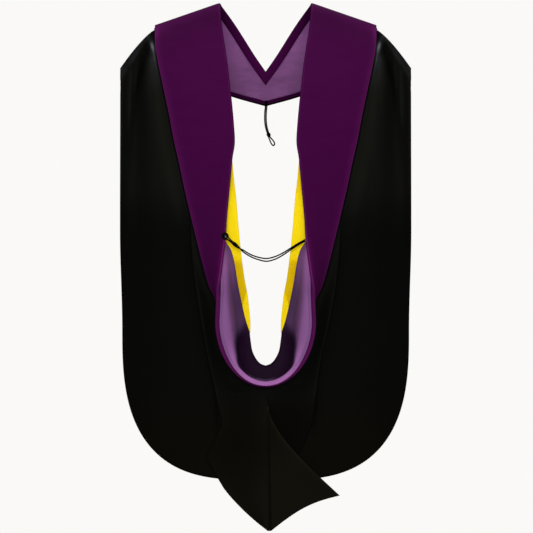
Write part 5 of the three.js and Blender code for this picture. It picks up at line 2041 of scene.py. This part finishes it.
@dataclass
class Studio:
    """The camera, the pale floor and the soft light."""

    pixel: float = 0.001954
    frame_pixels: int = 533
    middle_column: float = 265.65
    top_row: float = 2.85
    view_depth: float = -0.04
    distance: float = 30.0
    sensor: float = 36.0
    floor_z: float = -1.3
    floor_half: float = 5.0
    backdrop: Colour = from_screen(250, 249, 247)
    surrounding_light: float = 0.22
    aim: tuple[float, float, float] = (0.0, -0.1, -0.45)

    def camera(self) -> None:
        """Makes the camera, far off with a long lens, level with the middle of the hood's back."""
        data = bpy.data.cameras.new("camera")
        data.sensor_width = self.sensor
        data.lens = self.sensor * (self.distance + self.view_depth) / (self.pixel * self.frame_pixels)
        data.clip_end = 1000.0
        camera = bpy.data.objects.new("camera", data)
        half = self.frame_pixels / 2
        camera.location = (
            (half - self.middle_column) * self.pixel,
            -self.distance,
            -(half - self.top_row) * self.pixel,
        )
        camera.rotation_euler = (math.radians(90), 0, 0)
        bpy.context.scene.collection.objects.link(camera)
        bpy.context.scene.camera = camera

    def light(self, name: str, place: tuple[float, float, float], size: float, power: float) -> None:
        """Adds one soft light that shines on the middle of the hood."""
        data = bpy.data.lights.new(name, "AREA")
        data.size = size
        data.energy = power
        lamp = bpy.data.objects.new(name, data)
        lamp.location = place
        lamp.rotation_euler = (Vector(self.aim) - Vector(place)).to_track_quat("-Z", "Y").to_euler()
        bpy.context.scene.collection.objects.link(lamp)

    def floor(self) -> None:
        """Makes the pale floor, well below the hood."""
        bm = bmesh.new()
        bmesh.ops.create_grid(bm, x_segments=2, y_segments=2, size=self.floor_half)
        bmesh.ops.translate(bm, vec=(0, 0, self.floor_z), verts=bm.verts)
        floor = link("studio_floor", bm, smooth=False)
        shader = Shader("pale_floor")
        grain = shader.noise(shader.place(), 3.0, 2.0)
        shader.set(
            Base_Color=shader.blend(grain, from_screen(236, 235, 232), from_screen(240, 239, 236)),
            Roughness=0.9,
            Specular_IOR_Level=0.1,
        )
        floor.data.materials.append(shader.material)

    def surroundings(self) -> None:
        """Sets the pale surroundings, which the camera sees brighter than they light the hood."""
        world = bpy.data.worlds.new("pale_studio")
        world.use_nodes = True
        bpy.context.scene.world = world
        tree = world.node_tree
        tree.nodes.clear()
        seen, lit = (tree.nodes.new("ShaderNodeBackground") for _ in range(2))
        seen.inputs["Color"].default_value = self.backdrop
        lit.inputs["Color"].default_value = (1.0, 1.0, 1.0, 1.0)
        lit.inputs["Strength"].default_value = self.surrounding_light
        ray, mix = tree.nodes.new("ShaderNodeLightPath"), tree.nodes.new("ShaderNodeMixShader")
        out = tree.nodes.new("ShaderNodeOutputWorld")
        tree.links.new(ray.outputs["Is Camera Ray"], mix.inputs[0])
        tree.links.new(lit.outputs[0], mix.inputs[1])
        tree.links.new(seen.outputs[0], mix.inputs[2])
        tree.links.new(mix.outputs[0], out.inputs["Surface"])

    def build(self) -> None:
        """Makes the floor, the surroundings and the lights."""
        self.floor()
        self.surroundings()
        self.light("front_light", (-0.05, -5.0, 0.0), 1.6, 154)
        self.light("key_light", (-1.1, -4.8, 1.8), 1.6, 28)
        self.light("fill_light", (1.3, -4.8, 0.9), 2.0, 20)
        self.light("back", (0.5, 4.6, 1.0), 2.0, 60)
        bpy.context.scene.view_settings.view_transform = "Standard"


def main() -> None:
    """Builds the hood around its frame, sub-assembly by sub-assembly."""
    logging.basicConfig(level=logging.INFO, format="%(name)s: %(message)s")
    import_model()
    studio = Studio()
    studio.camera()
    pattern = Pattern(SIZES, Form(SIZES))
    edging = Edging(pattern)
    finishes = Finishes()
    fittings = Fittings(edging)
    fittings.build_cords(finishes)
    cloth = [kind(edging) for kind in (VelvetFacing, Neckband, Cowl, TailFlap, Cape, Lining)]
    for assembly in (fittings, *cloth):
        assembly.build(finishes)
        log.info("%s built", type(assembly).__name__)
    studio.build()


if __name__ == "__main__":
    main()
